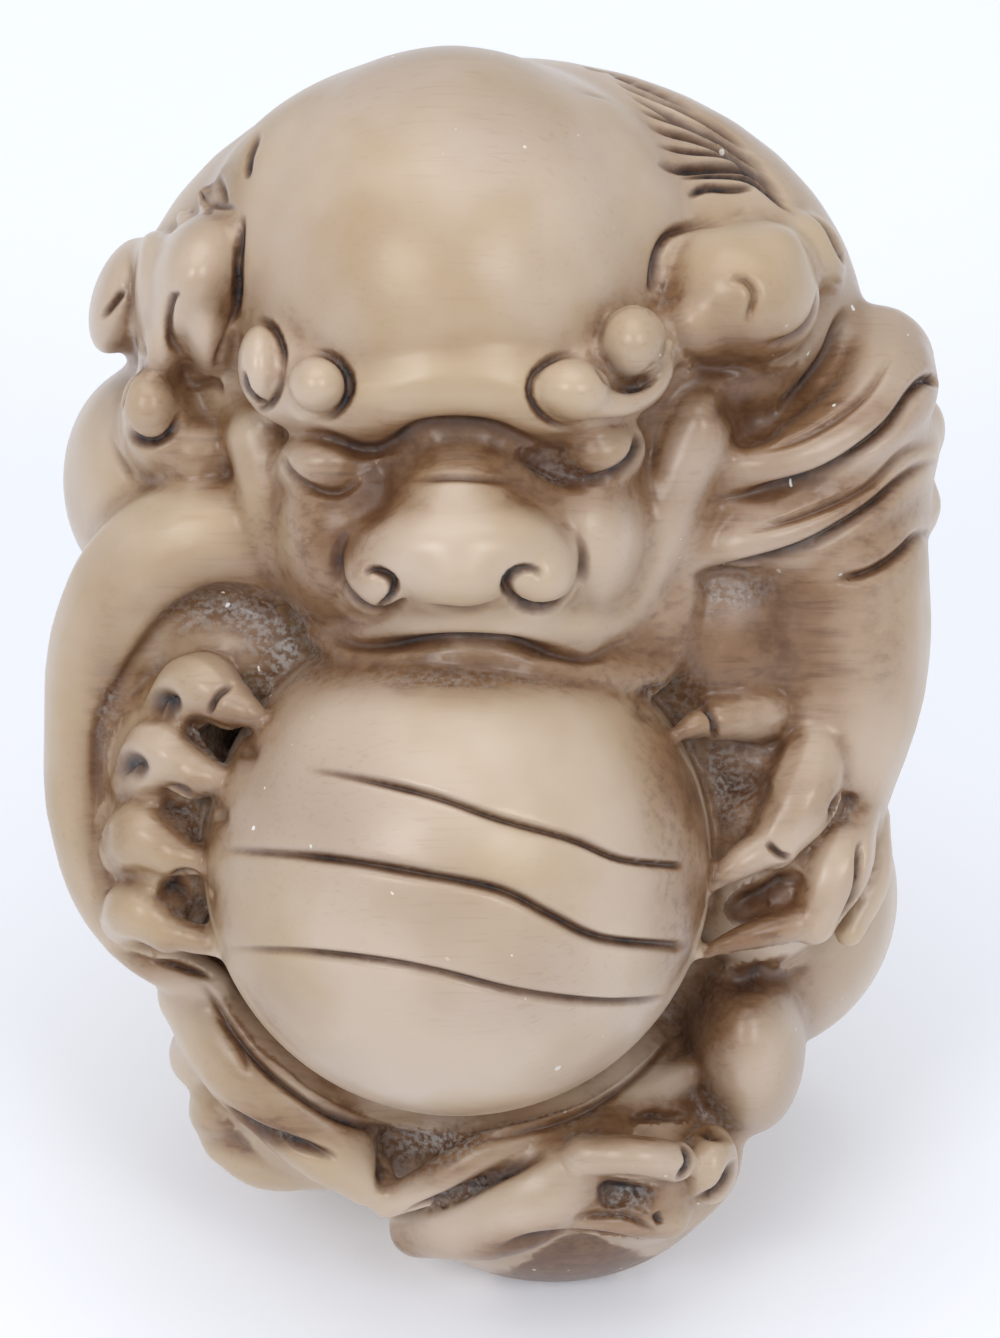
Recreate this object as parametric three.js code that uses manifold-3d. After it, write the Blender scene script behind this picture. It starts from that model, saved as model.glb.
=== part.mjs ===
// Foo dog figurine: a small seated guardian lion, cast in one piece, that hugs a grooved ball
// under its chin. The broad head is bowed over the ball, the forepaws hold it from both sides,
// and the hind legs fold under it round a rounded seat that is ground flat to stand on.
//
// Every form is placed on the slanting front of the figure, in hundredths of its drawn height:
// across to the viewer's right, up along the slant, and out towards the viewer. The middle of the
// drawing is the zero of all three. The part's own frame has +Z up and the front facing -Y, with
// its origin on the flat underside, below the middle of the drawing.

import * as THREE from "three";
import { mergeVertices } from "three/addons/utils/BufferGeometryUtils.js";
import Module from "manifold-3d";

const wasm = await Module();
wasm.setup();

// Driving sizes, in millimetres and degrees.
const DRAWN_HEIGHT = 50; // crown to foot of the seat, along the slanting front
const SLANT = 35; // how far the drawing leans back from upright
const GRINDING_DEPTH = 12; // thickness of the block that grinds the seat flat

// Places that several forms share, in hundredths of the drawn height.
const BOW = 0.45; // how much further out each form stands for every step up
const SEAT_LEVEL = 47; // the flat underside, straight below the drawing's middle
const BALL = { at: [-3.1, -14.9, 15.5], radius: 20.1 };
const CREST = { at: [0, 27, -9.5], radii: [29.5, 22.3, 16.5] }; // the mass of hair behind the skull
const FACE_MIDDLE = -3.2; // the face's own middle line, across
const REACH = 60; // from the middle to beyond every form
const THIN_BAR = 2.7; // a bar's mean radius, under which its ends are pointed

const SHARE = DRAWN_HEIGHT / 100;
const slant = THREE.MathUtils.degToRad(SLANT);
const BOW_ANGLE = THREE.MathUtils.radToDeg(Math.atan(BOW));
const ACROSS = new THREE.Vector3(1, 0, 0);
const UP = new THREE.Vector3(0, Math.sin(slant), Math.cos(slant));
const OUT = new THREE.Vector3(0, -Math.cos(slant), Math.sin(slant));
const TO_VIEWER = new THREE.Vector3(0, 0, 1);
const STANDING = new THREE.Matrix4()
  .makeBasis(ACROSS, UP, OUT)
  .premultiply(new THREE.Matrix4().makeScale(SHARE, SHARE, SHARE))
  .setPosition(0, 0, SEAT_LEVEL * SHARE);

// A place on the drawing with the bow of the figure added to it.
function place([across, up, out]) {
  return new THREE.Vector3(across, up, out + BOW * up);
}

// A closed geometry as a solid. Only positions are kept, so that shared corners merge.
function solid(geometry) {
  geometry.deleteAttribute("normal");
  geometry.deleteAttribute("uv");
  const merged = mergeVertices(geometry, 1e-4);
  return new wasm.Manifold(
    new wasm.Mesh({
      numProp: 3,
      vertProperties: merged.attributes.position.array,
      triVerts: new Uint32Array(merged.index.array),
    }),
  );
}

// The faces of a solid as a geometry.
function geometryOf(body) {
  const mesh = body.getMesh();
  return new THREE.BufferGeometry()
    .setAttribute("position", new THREE.BufferAttribute(mesh.vertProperties, 3))
    .setIndex(new THREE.BufferAttribute(mesh.triVerts, 1));
}

// How finely a rounded mass is faceted, from the mean of its radii.
function detailFor([wide, tall, deep]) {
  const size = Math.cbrt(wide * tall * deep);
  if (size > 16) return 3;
  return size > 8 ? 2 : 1;
}

// A rounded mass: its middle, its three radii, and its turns in degrees about out, up and across.
function lump(at, radii, [roll = 0, yaw = 0, pitch = 0] = [], detail = detailFor(radii)) {
  const turn = new THREE.Euler(...[pitch, yaw, roll].map(THREE.MathUtils.degToRad));
  const pose = new THREE.Matrix4().compose(
    place(at),
    new THREE.Quaternion().setFromEuler(turn),
    new THREE.Vector3(...radii),
  );
  return solid(new THREE.IcosahedronGeometry(1, detail).applyMatrix4(pose));
}

// A bar along a smooth line: each stop is across, up, out and the radius there. Its ends are
// rounded off, or run to a point on a thin bar.
function bar(stops, sides = 5) {
  const line = new THREE.CatmullRomCurve3(stops.map(place));
  const thickness = new THREE.CatmullRomCurve3(stops.map((s, i) => new THREE.Vector3(i, s[3], 0)));
  const spans = stops.length - 1;
  const mean = stops.reduce((sum, stop) => sum + stop[3], 0) / stops.length;
  const steps = Math.max(spans, Math.min(2 * spans, Math.round(line.getLength() / (2.2 * mean))));
  const rings = [];
  for (let i = 0; i <= steps; i++) rings.push([i / steps, Math.PI / 2]);
  if (mean > THIN_BAR) {
    rings.unshift([0, Math.PI / 4]);
    rings.push([1, (3 * Math.PI) / 4]);
  }

  const positions = [];
  const side = new THREE.Vector3();
  const lift = new THREE.Vector3();
  for (const [t, angle] of rings) {
    const tangent = line.getTangent(t);
    const radius = thickness.getPoint(t).y;
    const middle = line.getPoint(t).addScaledVector(tangent, -radius * Math.cos(angle));
    side.crossVectors(tangent, TO_VIEWER).normalize();
    lift.crossVectors(side, tangent).normalize();
    for (let k = 0; k < sides; k++) {
      const around = (2 * Math.PI * k) / sides;
      const point = middle
        .clone()
        .addScaledVector(side, radius * Math.sin(angle) * Math.cos(around))
        .addScaledVector(lift, radius * Math.sin(angle) * Math.sin(around));
      positions.push(...point);
    }
  }
  for (const end of [0, 1]) {
    const beyond = (end - 0.5) * 2 * thickness.getPoint(end).y;
    positions.push(...line.getPoint(end).addScaledVector(line.getTangent(end), beyond));
  }

  const faces = [];
  const last = rings.length - 1;
  const start = rings.length * sides;
  for (let k = 0; k < sides; k++) {
    const next = (k + 1) % sides;
    for (let i = 0; i < last; i++) {
      const near = i * sides;
      const far = near + sides;
      faces.push(near + k, far + k, near + next, near + next, far + k, far + next);
    }
    faces.push(start, k, next);
    faces.push(start + 1, last * sides + next, last * sides + k);
  }
  const geometry = new THREE.BufferGeometry();
  geometry.setAttribute("position", new THREE.Float32BufferAttribute(positions, 3));
  geometry.setIndex(faces);
  return solid(geometry);
}

// A toe: a bar from the paw over its knuckle to the nail, and the claw beyond it.
function toe(root, knuckle, nail, tip, size) {
  const finger = bar([
    [...root, size],
    [...knuckle, size * 1.15],
    [...nail, size * 0.8],
  ]);
  const claw = bar([
    [...nail, size * 0.66],
    [...tip, size * 0.2],
  ], 4);
  return [finger, claw];
}

// The trunk, the rump and the rounded seat.
function trunk() {
  const upright = [0, 0, BOW_ANGLE];
  const coarse = 2; // enough for masses that the limbs and the hair mostly cover
  return [
    lump([0, -2, -11], [28.5, 36, 18], upright, coarse),
    lump([0, 14, -10], [33, 18, 16], upright, coarse),
    lump([0, -24, -11], [27, 20, 19], [], coarse),
    lump([4.5, -36.5, 4], [15.5, 13, 16]),
    lump([-27.5, 15.5, -9], [7.4, 9.6, 11], [], 1),
    lump([-9, -29, 5], [14, 10, 12], [], 1),
  ];
}

// The skull, the mass of hair behind it, the brow, the flat face with its raised edge, the upper
// lip and the chin.
function head() {
  return [
    lump(CREST.at, CREST.radii, [], 2),
    lump([FACE_MIDDLE - 0.4, 31, -3], [17.6, 18.6, 18]),
    lump([FACE_MIDDLE - 0.4, 33, -6], [20.4, 16.2, 17], [], 2),
    lump([FACE_MIDDLE, 25.5, 2.5], [17, 7, 13.5], [], 1),
    bar([
      [-15.6, 23.8, 8.5, 4.7],
      [-10, 22.3, 12, 4.5],
      [FACE_MIDDLE, 23.4, 13.6, 4.3],
      [4, 22.3, 12.3, 4.5],
      [9.6, 24.4, 8.5, 4.4],
    ]),
    lump([FACE_MIDDLE, 11.5, 8], [13, 10, 12], [], 1),
    lump([-12.4, 11.5, 9], [5.4, 8, 8.5], [], 1),
    lump([6.8, 11.5, 9], [5.4, 8, 8.5], [], 1),
    bar([
      [-18.8, 18.6, 6, 2.6],
      [-16.6, 11, 9.4, 2.7],
      [-11, 4.8, 14, 2.4],
      [-2, 4.4, 19.4, 2.4],
      [7.4, 4.6, 14.4, 2.3],
      [12.6, 11, 9.6, 2.6],
      [16, 19.6, 6.5, 2.8],
    ]),
    bar([
      [-13.6, 3.2, 12.5, 1.6],
      [-7, 1.2, 18.2, 2.2],
      [0, 1, 19.4, 2.2],
      [7, 0, 17, 2.2],
      [12.6, 0.6, 12, 1.8],
      [15, 9.4, 9, 1.5],
      [17, 14, 7, 1.6],
    ]),
  ];
}

// The nose with its two wings, the drooping eyes and the brow curls.
function features() {
  return [
    lump([-3, 9.6, 17.2], [8.6, 4.9, 7.8], [], 2),
    lump([-3, 7.9, 20.4], [4.8, 3.4, 5.4]),
    lump([-3, 13.4, 15.4], [5, 3.8, 6]),
    lump([-9.2, 7.5, 18.6], [3.2, 3.1, 4.8]),
    lump([3.2, 7.8, 18.6], [3.3, 3.2, 4.8]),
    lump([-13.2, 16.5, 10.6], [4.2, 2.7, 5], [4]),
    lump([8, 17.2, 10.8], [3.8, 3, 5], [18]),
    lump([-18.5, 24, 10.2], [1.8, 3.3, 3.4]),
    lump([-13.9, 22.4, 15.4], [2.4, 2.3, 3]),
    lump([5.9, 22, 16.2], [3, 2.4, 2.9], [-10]),
    lump([10.6, 25.8, 13], [2.7, 2.8, 3.6]),
  ];
}

// Both ears, and the curls of the mane below and behind the left one.
function earsAndCurls() {
  return [
    lump([18.9, 29.8, 1], [6.8, 5.6, 7.5], [-14]),
    lump([15.6, 27.4, 5], [3.5, 3.2, 5]),
    lump([-23.4, 31.2, -1], [3.7, 5.2, 8], [-20]),
    lump([-22.8, 27.4, -0.6], [2.2, 4.2, 7.4], [8]),
    lump([-27, 30, -4], [1.9, 4.6, 6]),
    lump([-30.2, 30, -7], [2.8, 5, 6], [-20]),
    lump([-26.5, 20, -1], [3.5, 4.8, 7]),
    lump([-23.5, 16.4, 0], [4.5, 3, 6]),
  ];
}

// The three heavy locks that sweep from the right shoulder to the cheek.
function locks() {
  return [
    lump([26, 16.4, -3.4], [9, 9, 8], [], 1),
    bar([
      [30, 24.5, -7, 5],
      [30.2, 21.4, -0.4, 4.3],
      [25.6, 18, 4.6, 3.2],
      [20.5, 16.4, 6.8, 2.1],
      [17.5, 16.6, 7, 1.1],
    ]),
    bar([
      [32.4, 19.5, -8, 3.6],
      [30.4, 15.8, 0.8, 3.6],
      [24.5, 12, 6.2, 3.2],
      [19, 10.2, 8.5, 2.4],
      [15.6, 9, 8.5, 1.2],
    ]),
    bar([
      [32, 13.5, -5, 3.6],
      [29.4, 10.2, 2.2, 3.3],
      [23, 7, 5.6, 2.4],
    ]),
  ];
}

// The left foreleg: a thick fold from the cheek round the outside, and the paw on the ball.
function leftForeleg() {
  return [
    lump([-23, -6, -6], [11.5, 18, 12], [], 1),
    bar([
      [-18.5, 9.4, 6, 5],
      [-25.5, 10, 5, 5.2],
      [-30.2, 4.4, 4, 4.8],
      [-32.2, -4, 4, 4.1],
      [-32.2, -12, 6, 3.7],
      [-30, -19, 9, 3.1],
      [-26, -23, 12, 2.5],
      [-22.6, -24.8, 13, 1.7],
    ], 6),
    lump([-26, -9.6, 7.4], [5, 12, 8], [], 1),
    lump([-19, 2, 4], [9.5, 6, 7], [], 1),
    ...toe([-26, -3.6, 9], [-23, -1.2, 13.6], [-21, -2.4, 15.8], [-17.8, -4.4, 17.6], 2.6),
    ...toe([-28, -8.4, 10.5], [-26, -6.4, 14.3], [-23.8, -7.8, 16.2], [-20, -9.6, 17.8], 2.7),
    ...toe([-29.2, -14, 11.7], [-27.8, -12.8, 14.8], [-25.4, -14.2, 16.8], [-21.6, -16, 18.4], 2.5),
    ...toe([-29.4, -19.4, 12.6], [-28.2, -18.8, 15.4], [-26, -20.4, 17], [-20.2, -22.6, 19.2], 2.3),
  ];
}

// The right foreleg, which comes down from under the locks, and its paw.
function rightForeleg() {
  return [
    bar([
      [25.6, 9, 0, 9],
      [26.6, 1, 2, 8.2],
      [26, -6, 5, 7],
      [25.5, -12, 7, 5.4],
    ], 6),
    lump([18.5, -6, 1.5], [9, 9, 9], [], 1),
    lump([17, 4, 0.5], [9, 10, 8.5], [], 1),
    lump([21, -12, 5.5], [7.5, 11.5, 9], [], 1),
    ...toe([23.5, -2.6, 7], [20.4, -3, 11], [17.4, -3.6, 13.4], [13.4, -5.2, 16.4], 2.2),
    ...toe([25.4, -5.4, 9.5], [23.9, -10, 13.4], [21.8, -13.4, 15.6], [16, -17.4, 19], 2.7),
    ...toe([28, -11.4, 9.4], [26.8, -15.6, 13.4], [25, -19.6, 15.4], [15.4, -22.4, 19], 2.5),
    bar([
      [30.2, -11.5, 6, 1.3],
      [29.9, -16.5, 10, 1.5],
      [28, -20.6, 13, 1.2],
    ]),
  ];
}

// The two hind legs: the big haunches, the left shin and paw, and the right knee, foot and toes.
function hindLegs() {
  return [
    lump([19.4, -18, -6], [13.3, 13.4, 15]),
    lump([-17, -19, -6], [12.6, 13, 15]),
    bar([
      [-24, -25.6, 10, 3.4],
      [-20.8, -30, 13.6, 4],
      [-16.4, -34.4, 16, 4],
      [-12.6, -38.2, 17.4, 3.4],
      [-10.2, -40.6, 17.6, 2.3],
    ]),
    lump([-15, -34, 8], [9, 7, 9], [-40], 1),
    lump([-23.6, -30.6, 9], [2.9, 3, 4.5]),
    lump([-22.2, -35.2, 9], [2.8, 2.6, 5]),
    bar([
      [-21.6, -37.2, 9, 2.6],
      [-18.6, -38.9, 11, 2.9],
      [-13.6, -39.4, 12, 2.3],
    ]),
    lump([20, -29, 7], [4.9, 8.2, 10], [4]),
    bar([
      [15.4, -32, 12, 1.6],
      [3, -36.6, 18.6, 1.7],
      [-1.5, -38.6, 19.6, 1.8],
      [-8.8, -42.4, 18.4, 1.3],
    ]),
    lump([11, -40, 13], [7, 6, 8], [], 1),
    bar([
      [-6.2, -44.6, 14, 2.7],
      [-1.5, -43.4, 18, 3.9],
      [3.4, -41.2, 20, 4.1],
      [8.6, -38, 19.2, 3.2],
    ]),
    bar([
      [7, -38.2, 22, 1.8],
      [14.2, -38.8, 21.8, 1.7],
    ]),
    lump([17, -39.2, 18], [2.4, 3.4, 4]),
    bar([
      [4.5, -42.4, 20.5, 1.9],
      [9.5, -43.6, 21, 1.6],
      [13.8, -43.4, 19, 1.9],
    ]),
    bar([
      [18, -35.5, 10, 2],
      [17.9, -40.2, 13, 1.7],
      [15.2, -43, 16, 1.8],
    ]),
  ];
}

// A place on the hair behind the skull: degrees round to the right, and degrees down its back.
function onCrest(sideways, down) {
  const side = THREE.MathUtils.degToRad(sideways);
  const back = THREE.MathUtils.degToRad(down);
  const [across, up, out] = CREST.at;
  const [wide, tall, deep] = CREST.radii;
  return [
    across + wide * Math.sin(side),
    up + tall * Math.cos(side) * Math.cos(back),
    out - deep * Math.cos(side) * Math.sin(back),
  ];
}

// The mane behind: combed locks that fan from the crown down to the nape.
function mane() {
  const FAN = 24; // degrees between neighbouring locks
  const LOCK = [
    [0.7, 36, 1.2],
    [0.9, 56, 6],
    [1, 92, 6.6],
    [1.05, 126, 3.2],
  ]; // share of the fan, degrees down the crest, and radius, at each stop
  return [-2, -1, 0, 1, 2].map((k) =>
    bar(LOCK.map(([spread, down, radius]) => [...onCrest(k * FAN * spread, down), radius])),
  );
}

// The tail: a plume that rises from the rump up the middle of the back, with a lock each side.
function tail() {
  const plume = bar([
    [0, -30, -26, 5],
    [1.5, -20, -29.6, 7.4],
    [0.5, -9, -30.4, 6.4],
    [-3.5, 3, -29, 2.6],
  ]);
  const sideLocks = [-1, 1].map((way) =>
    bar([
      [way * 5, -30, -24.6, 4.6],
      [way * 10.5, -20, -25.6, 5.8],
      [way * 9, -8, -27.4, 3],
    ]),
  );
  return [plume, ...sideLocks];
}

// How far out the surface of a body lies at a place on the drawing.
function surfaceFinder(body) {
  const target = new THREE.Mesh(
    geometryOf(body),
    new THREE.MeshBasicMaterial({ side: THREE.DoubleSide }),
  );
  const ray = new THREE.Raycaster();
  return (across, up) => {
    ray.set(new THREE.Vector3(across, up, REACH), TO_VIEWER.clone().negate());
    return ray.intersectObject(target)[0].point.z;
  };
}

// The three grooves of the ball: each stop is across, up and half the groove's width.
const BALL_GROOVES = [
  [
    [-13.6, -7.6, 0.3],
    [-2, -10.3, 0.65],
    [9, -14.1, 0.75],
    [14.4, -15, 0.6],
  ],
  [
    [-18.6, -14.1, 0.35],
    [-6, -15.2, 0.75],
    [1, -17, 0.9],
    [8, -20.6, 0.9],
    [13.8, -21.2, 0.6],
  ],
  [
    [-18, -21.6, 0.35],
    [-5, -22.6, 0.6],
    [4, -25, 0.75],
    [12.4, -25.6, 0.6],
  ],
];

// Cuts each groove into a body along its surface, to a depth of its own half width.
function carve(body, grooves) {
  const surface = surfaceFinder(body);
  const cutters = grooves.map((stops) => {
    const line = new THREE.CatmullRomCurve3(stops.map((stop) => new THREE.Vector3(...stop)));
    const spans = Math.round(line.getLength() / 6);
    const route = line.getPoints(spans);
    return bar(
      route.map(({ x, y, z }) => [x, y, surface(x, y) - BOW * y, z]),
      4,
    );
  });
  return body.subtract(wasm.Manifold.union(cutters));
}

// The whole figure, stood up on its ground seat.
function figure() {
  const clay = wasm.Manifold.union([
    ...trunk(),
    ...head(),
    ...features(),
    ...earsAndCurls(),
    ...locks(),
    lump(BALL.at, [BALL.radius, BALL.radius, BALL.radius]),
    ...leftForeleg(),
    ...rightForeleg(),
    ...hindLegs(),
    ...mane(),
    ...tail(),
  ]);
  const carved = geometryOf(carve(clay, BALL_GROOVES)).applyMatrix4(STANDING);
  const width = 2 * REACH * SHARE;
  const grinder = new THREE.BoxGeometry(width, width, GRINDING_DEPTH);
  grinder.translate(0, 0, -GRINDING_DEPTH / 2);
  const pieces = solid(carved).subtract(solid(grinder)).decompose();
  pieces.sort((one, other) => other.volume() - one.volume());
  return geometryOf(pieces[0]);
}

const resin = new THREE.MeshStandardMaterial({
  color: 0xc9b8a0,
  roughness: 0.38,
  metalness: 0,
});

const figurine = new THREE.Group();
figurine.name = "foo_dog_figurine";
const dog = new THREE.Mesh(figure(), resin);
dog.name = "foo_dog";
figurine.add(dog);

export default figurine;
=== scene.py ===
"""The foo dog figurine, dressed: modelled, carved, stained, given painted shade in its hollows, and lit
in a small studio.

The figure is modelled lying on its drawing, the slanting plane that the photograph shows, in
hundredths of its drawn height: across to the viewer's right, up along the slant, and out towards
the viewer. It is stood up on its seat at the end, at the size of the CAD model.
"""

import logging
import math
from collections.abc import Iterable, Sequence
from dataclasses import dataclass, field
from enum import Enum
from typing import Protocol

import bpy
import numpy as np
from mathutils import Matrix, Vector
from mathutils.bvhtree import BVHTree


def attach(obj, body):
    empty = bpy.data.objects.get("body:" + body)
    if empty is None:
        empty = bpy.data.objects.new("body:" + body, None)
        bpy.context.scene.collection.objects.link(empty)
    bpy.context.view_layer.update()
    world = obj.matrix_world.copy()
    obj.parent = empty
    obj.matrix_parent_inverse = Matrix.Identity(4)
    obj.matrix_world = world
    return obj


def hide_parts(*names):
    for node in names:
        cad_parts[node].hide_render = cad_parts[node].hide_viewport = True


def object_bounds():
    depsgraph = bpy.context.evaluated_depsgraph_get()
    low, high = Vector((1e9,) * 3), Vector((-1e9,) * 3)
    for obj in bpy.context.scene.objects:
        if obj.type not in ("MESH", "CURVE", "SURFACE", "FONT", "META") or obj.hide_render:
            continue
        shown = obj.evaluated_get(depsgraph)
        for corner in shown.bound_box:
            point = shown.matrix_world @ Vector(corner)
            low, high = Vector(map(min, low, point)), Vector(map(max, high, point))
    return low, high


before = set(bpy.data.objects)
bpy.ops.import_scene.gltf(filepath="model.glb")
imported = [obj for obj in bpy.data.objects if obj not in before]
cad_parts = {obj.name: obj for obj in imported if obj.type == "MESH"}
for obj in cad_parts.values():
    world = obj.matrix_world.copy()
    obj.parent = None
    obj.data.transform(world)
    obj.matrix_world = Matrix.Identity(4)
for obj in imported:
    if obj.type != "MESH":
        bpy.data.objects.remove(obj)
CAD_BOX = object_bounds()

logging.basicConfig(level=logging.INFO, format="%(message)s")
log = logging.getLogger("foo_dog")

NODE = "foo_dog"
PIECE = "foo_dog_skin"

Stop = tuple[float, ...]
Patch = tuple[float, float, float, float, float]  # across, up, both radii and strength


class Stage(Enum):
    """The rounds in which clay is put on: each is kneaded smoother than the next."""

    BROAD = "broad"
    MIDDLE = "middle"
    FINE = "fine"


class Face(Enum):
    """The side of the figure that a chisel stroke is made from."""

    FRONT = 1.0
    BACK = -1.0


@dataclass(frozen=True)
class Drawing:
    """The slanting plane on which every form is placed.

    Attributes:
        slant: How far the plane leans back from upright, in radians.
        bow: How much further out each form stands for every step up.
        seat_level: How far the flat seat lies straight below the plane's middle.
        standing_height: The standing figure's height, in hundredths of its drawn height.
    """

    slant: float = math.radians(35.0)
    bow: float = 0.45
    seat_level: float = 47.0
    standing_height: float = 97.06

    @property
    def unit(self) -> float:
        """One hundredth of the drawn height, in metres."""
        return (CAD_BOX[1].z - CAD_BOX[0].z) / self.standing_height

    @property
    def bow_angle(self) -> float:
        """The bow as an angle, in radians."""
        return math.atan(self.bow)

    def place(self, at: Sequence[float]) -> Vector:
        """A place on the drawing with the bow of the figure added to it."""
        return Vector((at[0], at[1], at[2] + self.bow * at[1]))

    def standing(self) -> Matrix:
        """The matrix that stands the drawing up over its seat."""
        s, c, u = math.sin(self.slant), math.cos(self.slant), self.unit
        return Matrix(
            (
                (u, 0.0, 0.0, 0.0),
                (0.0, u * s, -u * c, 0.0),
                (0.0, u * c, u * s, u * self.seat_level),
                (0.0, 0.0, 0.0, 1.0),
            )
        )


DRAWING = Drawing()


def smooth_path(stops: Sequence[Stop], spacing: float) -> np.ndarray:
    """A Catmull-Rom line through stops of any width.

    Args:
        stops: Points, each with the same number of values.
        spacing: The most that neighbouring points of the result lie apart, across and up.

    Returns:
        One row for each point of the line.
    """
    p = np.array(stops, dtype=float)
    if len(p) == 2:
        middle = (p[0] + p[1]) / 2
        p = np.array([p[0], middle, p[1]])
    ends = np.vstack([2 * p[0] - p[1], p, 2 * p[-1] - p[-2]])
    rows = []
    for i in range(1, len(ends) - 2):
        a, b, c, d = ends[i - 1 : i + 3]
        span = np.linalg.norm((c - b)[:2])
        steps = max(2, math.ceil(span / spacing))
        for t in np.arange(steps) / steps:
            rows.append(
                0.5 * (2 * b + (c - a) * t + (2 * a - 5 * b + 4 * c - d) * t**2)
                + 0.5 * (3 * b - a - 3 * c + d) * t**3
            )
    rows.append(p[-1])
    return np.array(rows)


def arc(
    middle: tuple[float, float],
    radii: tuple[float, float],
    start: float,
    end: float,
) -> tuple[Stop, ...]:
    """An arc on the drawing.

    Args:
        middle: Its middle, across and up.
        radii: Its radii across and up.
        start: The angle where it starts, in degrees anticlockwise from the right.
        end: The angle where it ends.

    Returns:
        Points along it, about 30 degrees apart.
    """
    count = max(3, round(abs(end - start) / 30))
    angles = [math.radians(start + (end - start) * (k / count)) for k in range(count + 1)]
    return tuple(
        (middle[0] + radii[0] * math.cos(a), middle[1] + radii[1] * math.sin(a)) for a in angles
    )


def deselect() -> None:
    """Leaves nothing selected."""
    bpy.ops.object.select_all(action="DESELECT")


def pick(piece: bpy.types.Object) -> None:
    """Selects one piece alone and makes it the active one."""
    deselect()
    piece.select_set(True)
    bpy.context.view_layer.objects.active = piece


def apply_modifier(piece: bpy.types.Object, kind: str, settings: dict[str, float | str]) -> None:
    """Adds a modifier to the active piece, sets it and applies it.

    Args:
        piece: The active piece.
        kind: The modifier's type.
        settings: Its properties.
    """
    bpy.ops.object.modifier_add(type=kind)
    modifier = piece.modifiers[-1]
    for name, value in settings.items():
        setattr(modifier, name, value)
    bpy.ops.object.modifier_apply(modifier=modifier.name)


class Clay:
    """Masses that are put on one by one and kneaded into one skin."""

    def __init__(self) -> None:
        """Starts with an empty board."""
        self.lots: dict[Stage, list[bpy.types.Object]] = {stage: [] for stage in Stage}

    def lump(
        self,
        stage: Stage,
        at: Sequence[float],
        radii: Sequence[float],
        roll: float = 0.0,
        pitch: float = 0.0,
        rings: int = 24,
    ) -> None:
        """Puts on a rounded mass.

        Args:
            stage: The round it belongs to.
            at: Its middle.
            radii: Its radii across, up and out.
            roll: Its turn about out, in degrees.
            pitch: Its turn about across, in degrees.
            rings: How finely it is faceted.
        """
        deselect()
        bpy.ops.mesh.primitive_uv_sphere_add(
            segments=rings * 3 // 2,
            ring_count=rings,
            radius=1.0,
            location=DRAWING.place(at),
            rotation=(math.radians(pitch), 0.0, math.radians(roll)),
            scale=tuple(radii),
        )
        self.lots[stage].append(bpy.context.object)

    def bar(self, stage: Stage, *stops: Stop) -> None:
        """Puts on a round bar along a smooth line, with a ball at each end.

        Args:
            stage: The round it belongs to.
            stops: Places along it, each with the radius there as a fourth value.
        """
        deselect()
        bpy.ops.curve.primitive_bezier_curve_add(radius=1.0)
        curve = bpy.context.object.data
        curve.dimensions = "3D"
        curve.bevel_depth = 1.0
        curve.bevel_resolution = 3
        curve.resolution_u = 8
        curve.use_fill_caps = True
        line = curve.splines[0]
        line.radius_interpolation = "CARDINAL"
        line.bezier_points.add(len(stops) - 2)
        for point, stop in zip(line.bezier_points, stops):
            point.co = DRAWING.place(stop)
            point.radius = stop[3]
            point.handle_left_type = "AUTO"
            point.handle_right_type = "AUTO"
        bpy.ops.object.convert(target="MESH")
        bpy.ops.object.mode_set(mode="EDIT")
        bpy.ops.mesh.select_all(action="SELECT")
        bpy.ops.mesh.remove_doubles(threshold=1e-4)
        bpy.ops.mesh.normals_make_consistent(inside=False)
        bpy.ops.object.mode_set(mode="OBJECT")
        self.lots[stage].append(bpy.context.object)
        for end in (stops[0], stops[-1]):
            self.lump(stage, end, (end[3],) * 3, rings=12)

    def knead(self, stage: Stage, grain: float, passes: int) -> bpy.types.Object:
        """Joins this round's masses to the earlier ones and smooths the whole.

        Args:
            stage: The round to join.
            grain: How far apart the points of the new skin lie.
            passes: How often the skin is smoothed.

        Returns:
            The skin so far.
        """
        deselect()
        lot = self.lots[stage]
        for piece in lot:
            piece.select_set(True)
        bpy.context.view_layer.objects.active = lot[0]
        bpy.ops.object.join()
        body = bpy.context.object
        bpy.ops.object.transform_apply(location=True, rotation=True, scale=True)
        apply_modifier(body, "REMESH", {"mode": "VOXEL", "voxel_size": grain})
        apply_modifier(body, "SMOOTH", {"factor": 0.5, "iterations": passes})
        self.lots[stage] = [body]
        log.info("kneaded %s: %d faces", stage.value, len(body.data.polygons))
        return body

    def pass_on(self, stage: Stage, later: Stage) -> None:
        """Hands a kneaded skin to a later round."""
        self.lots[later] = self.lots[stage] + self.lots[later]
        self.lots[stage] = []


@dataclass(frozen=True)
class Stroke:
    """One pass of the chisel over the drawing.

    Attributes:
        path: Where it runs, across and up.
        width: Half its width.
        depth: How deep it cuts at most, or how far it raises when below zero.
        stain: How much dark stain it holds, from 0 to 1.
        open_start: Whether it starts at full depth.
        open_end: Whether it ends at full depth.
        face: The side it is made from.
    """

    path: tuple[Stop, ...]
    width: float
    depth: float
    stain: float = 1.0
    open_start: bool = False
    open_end: bool = False
    face: Face = Face.FRONT


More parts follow.
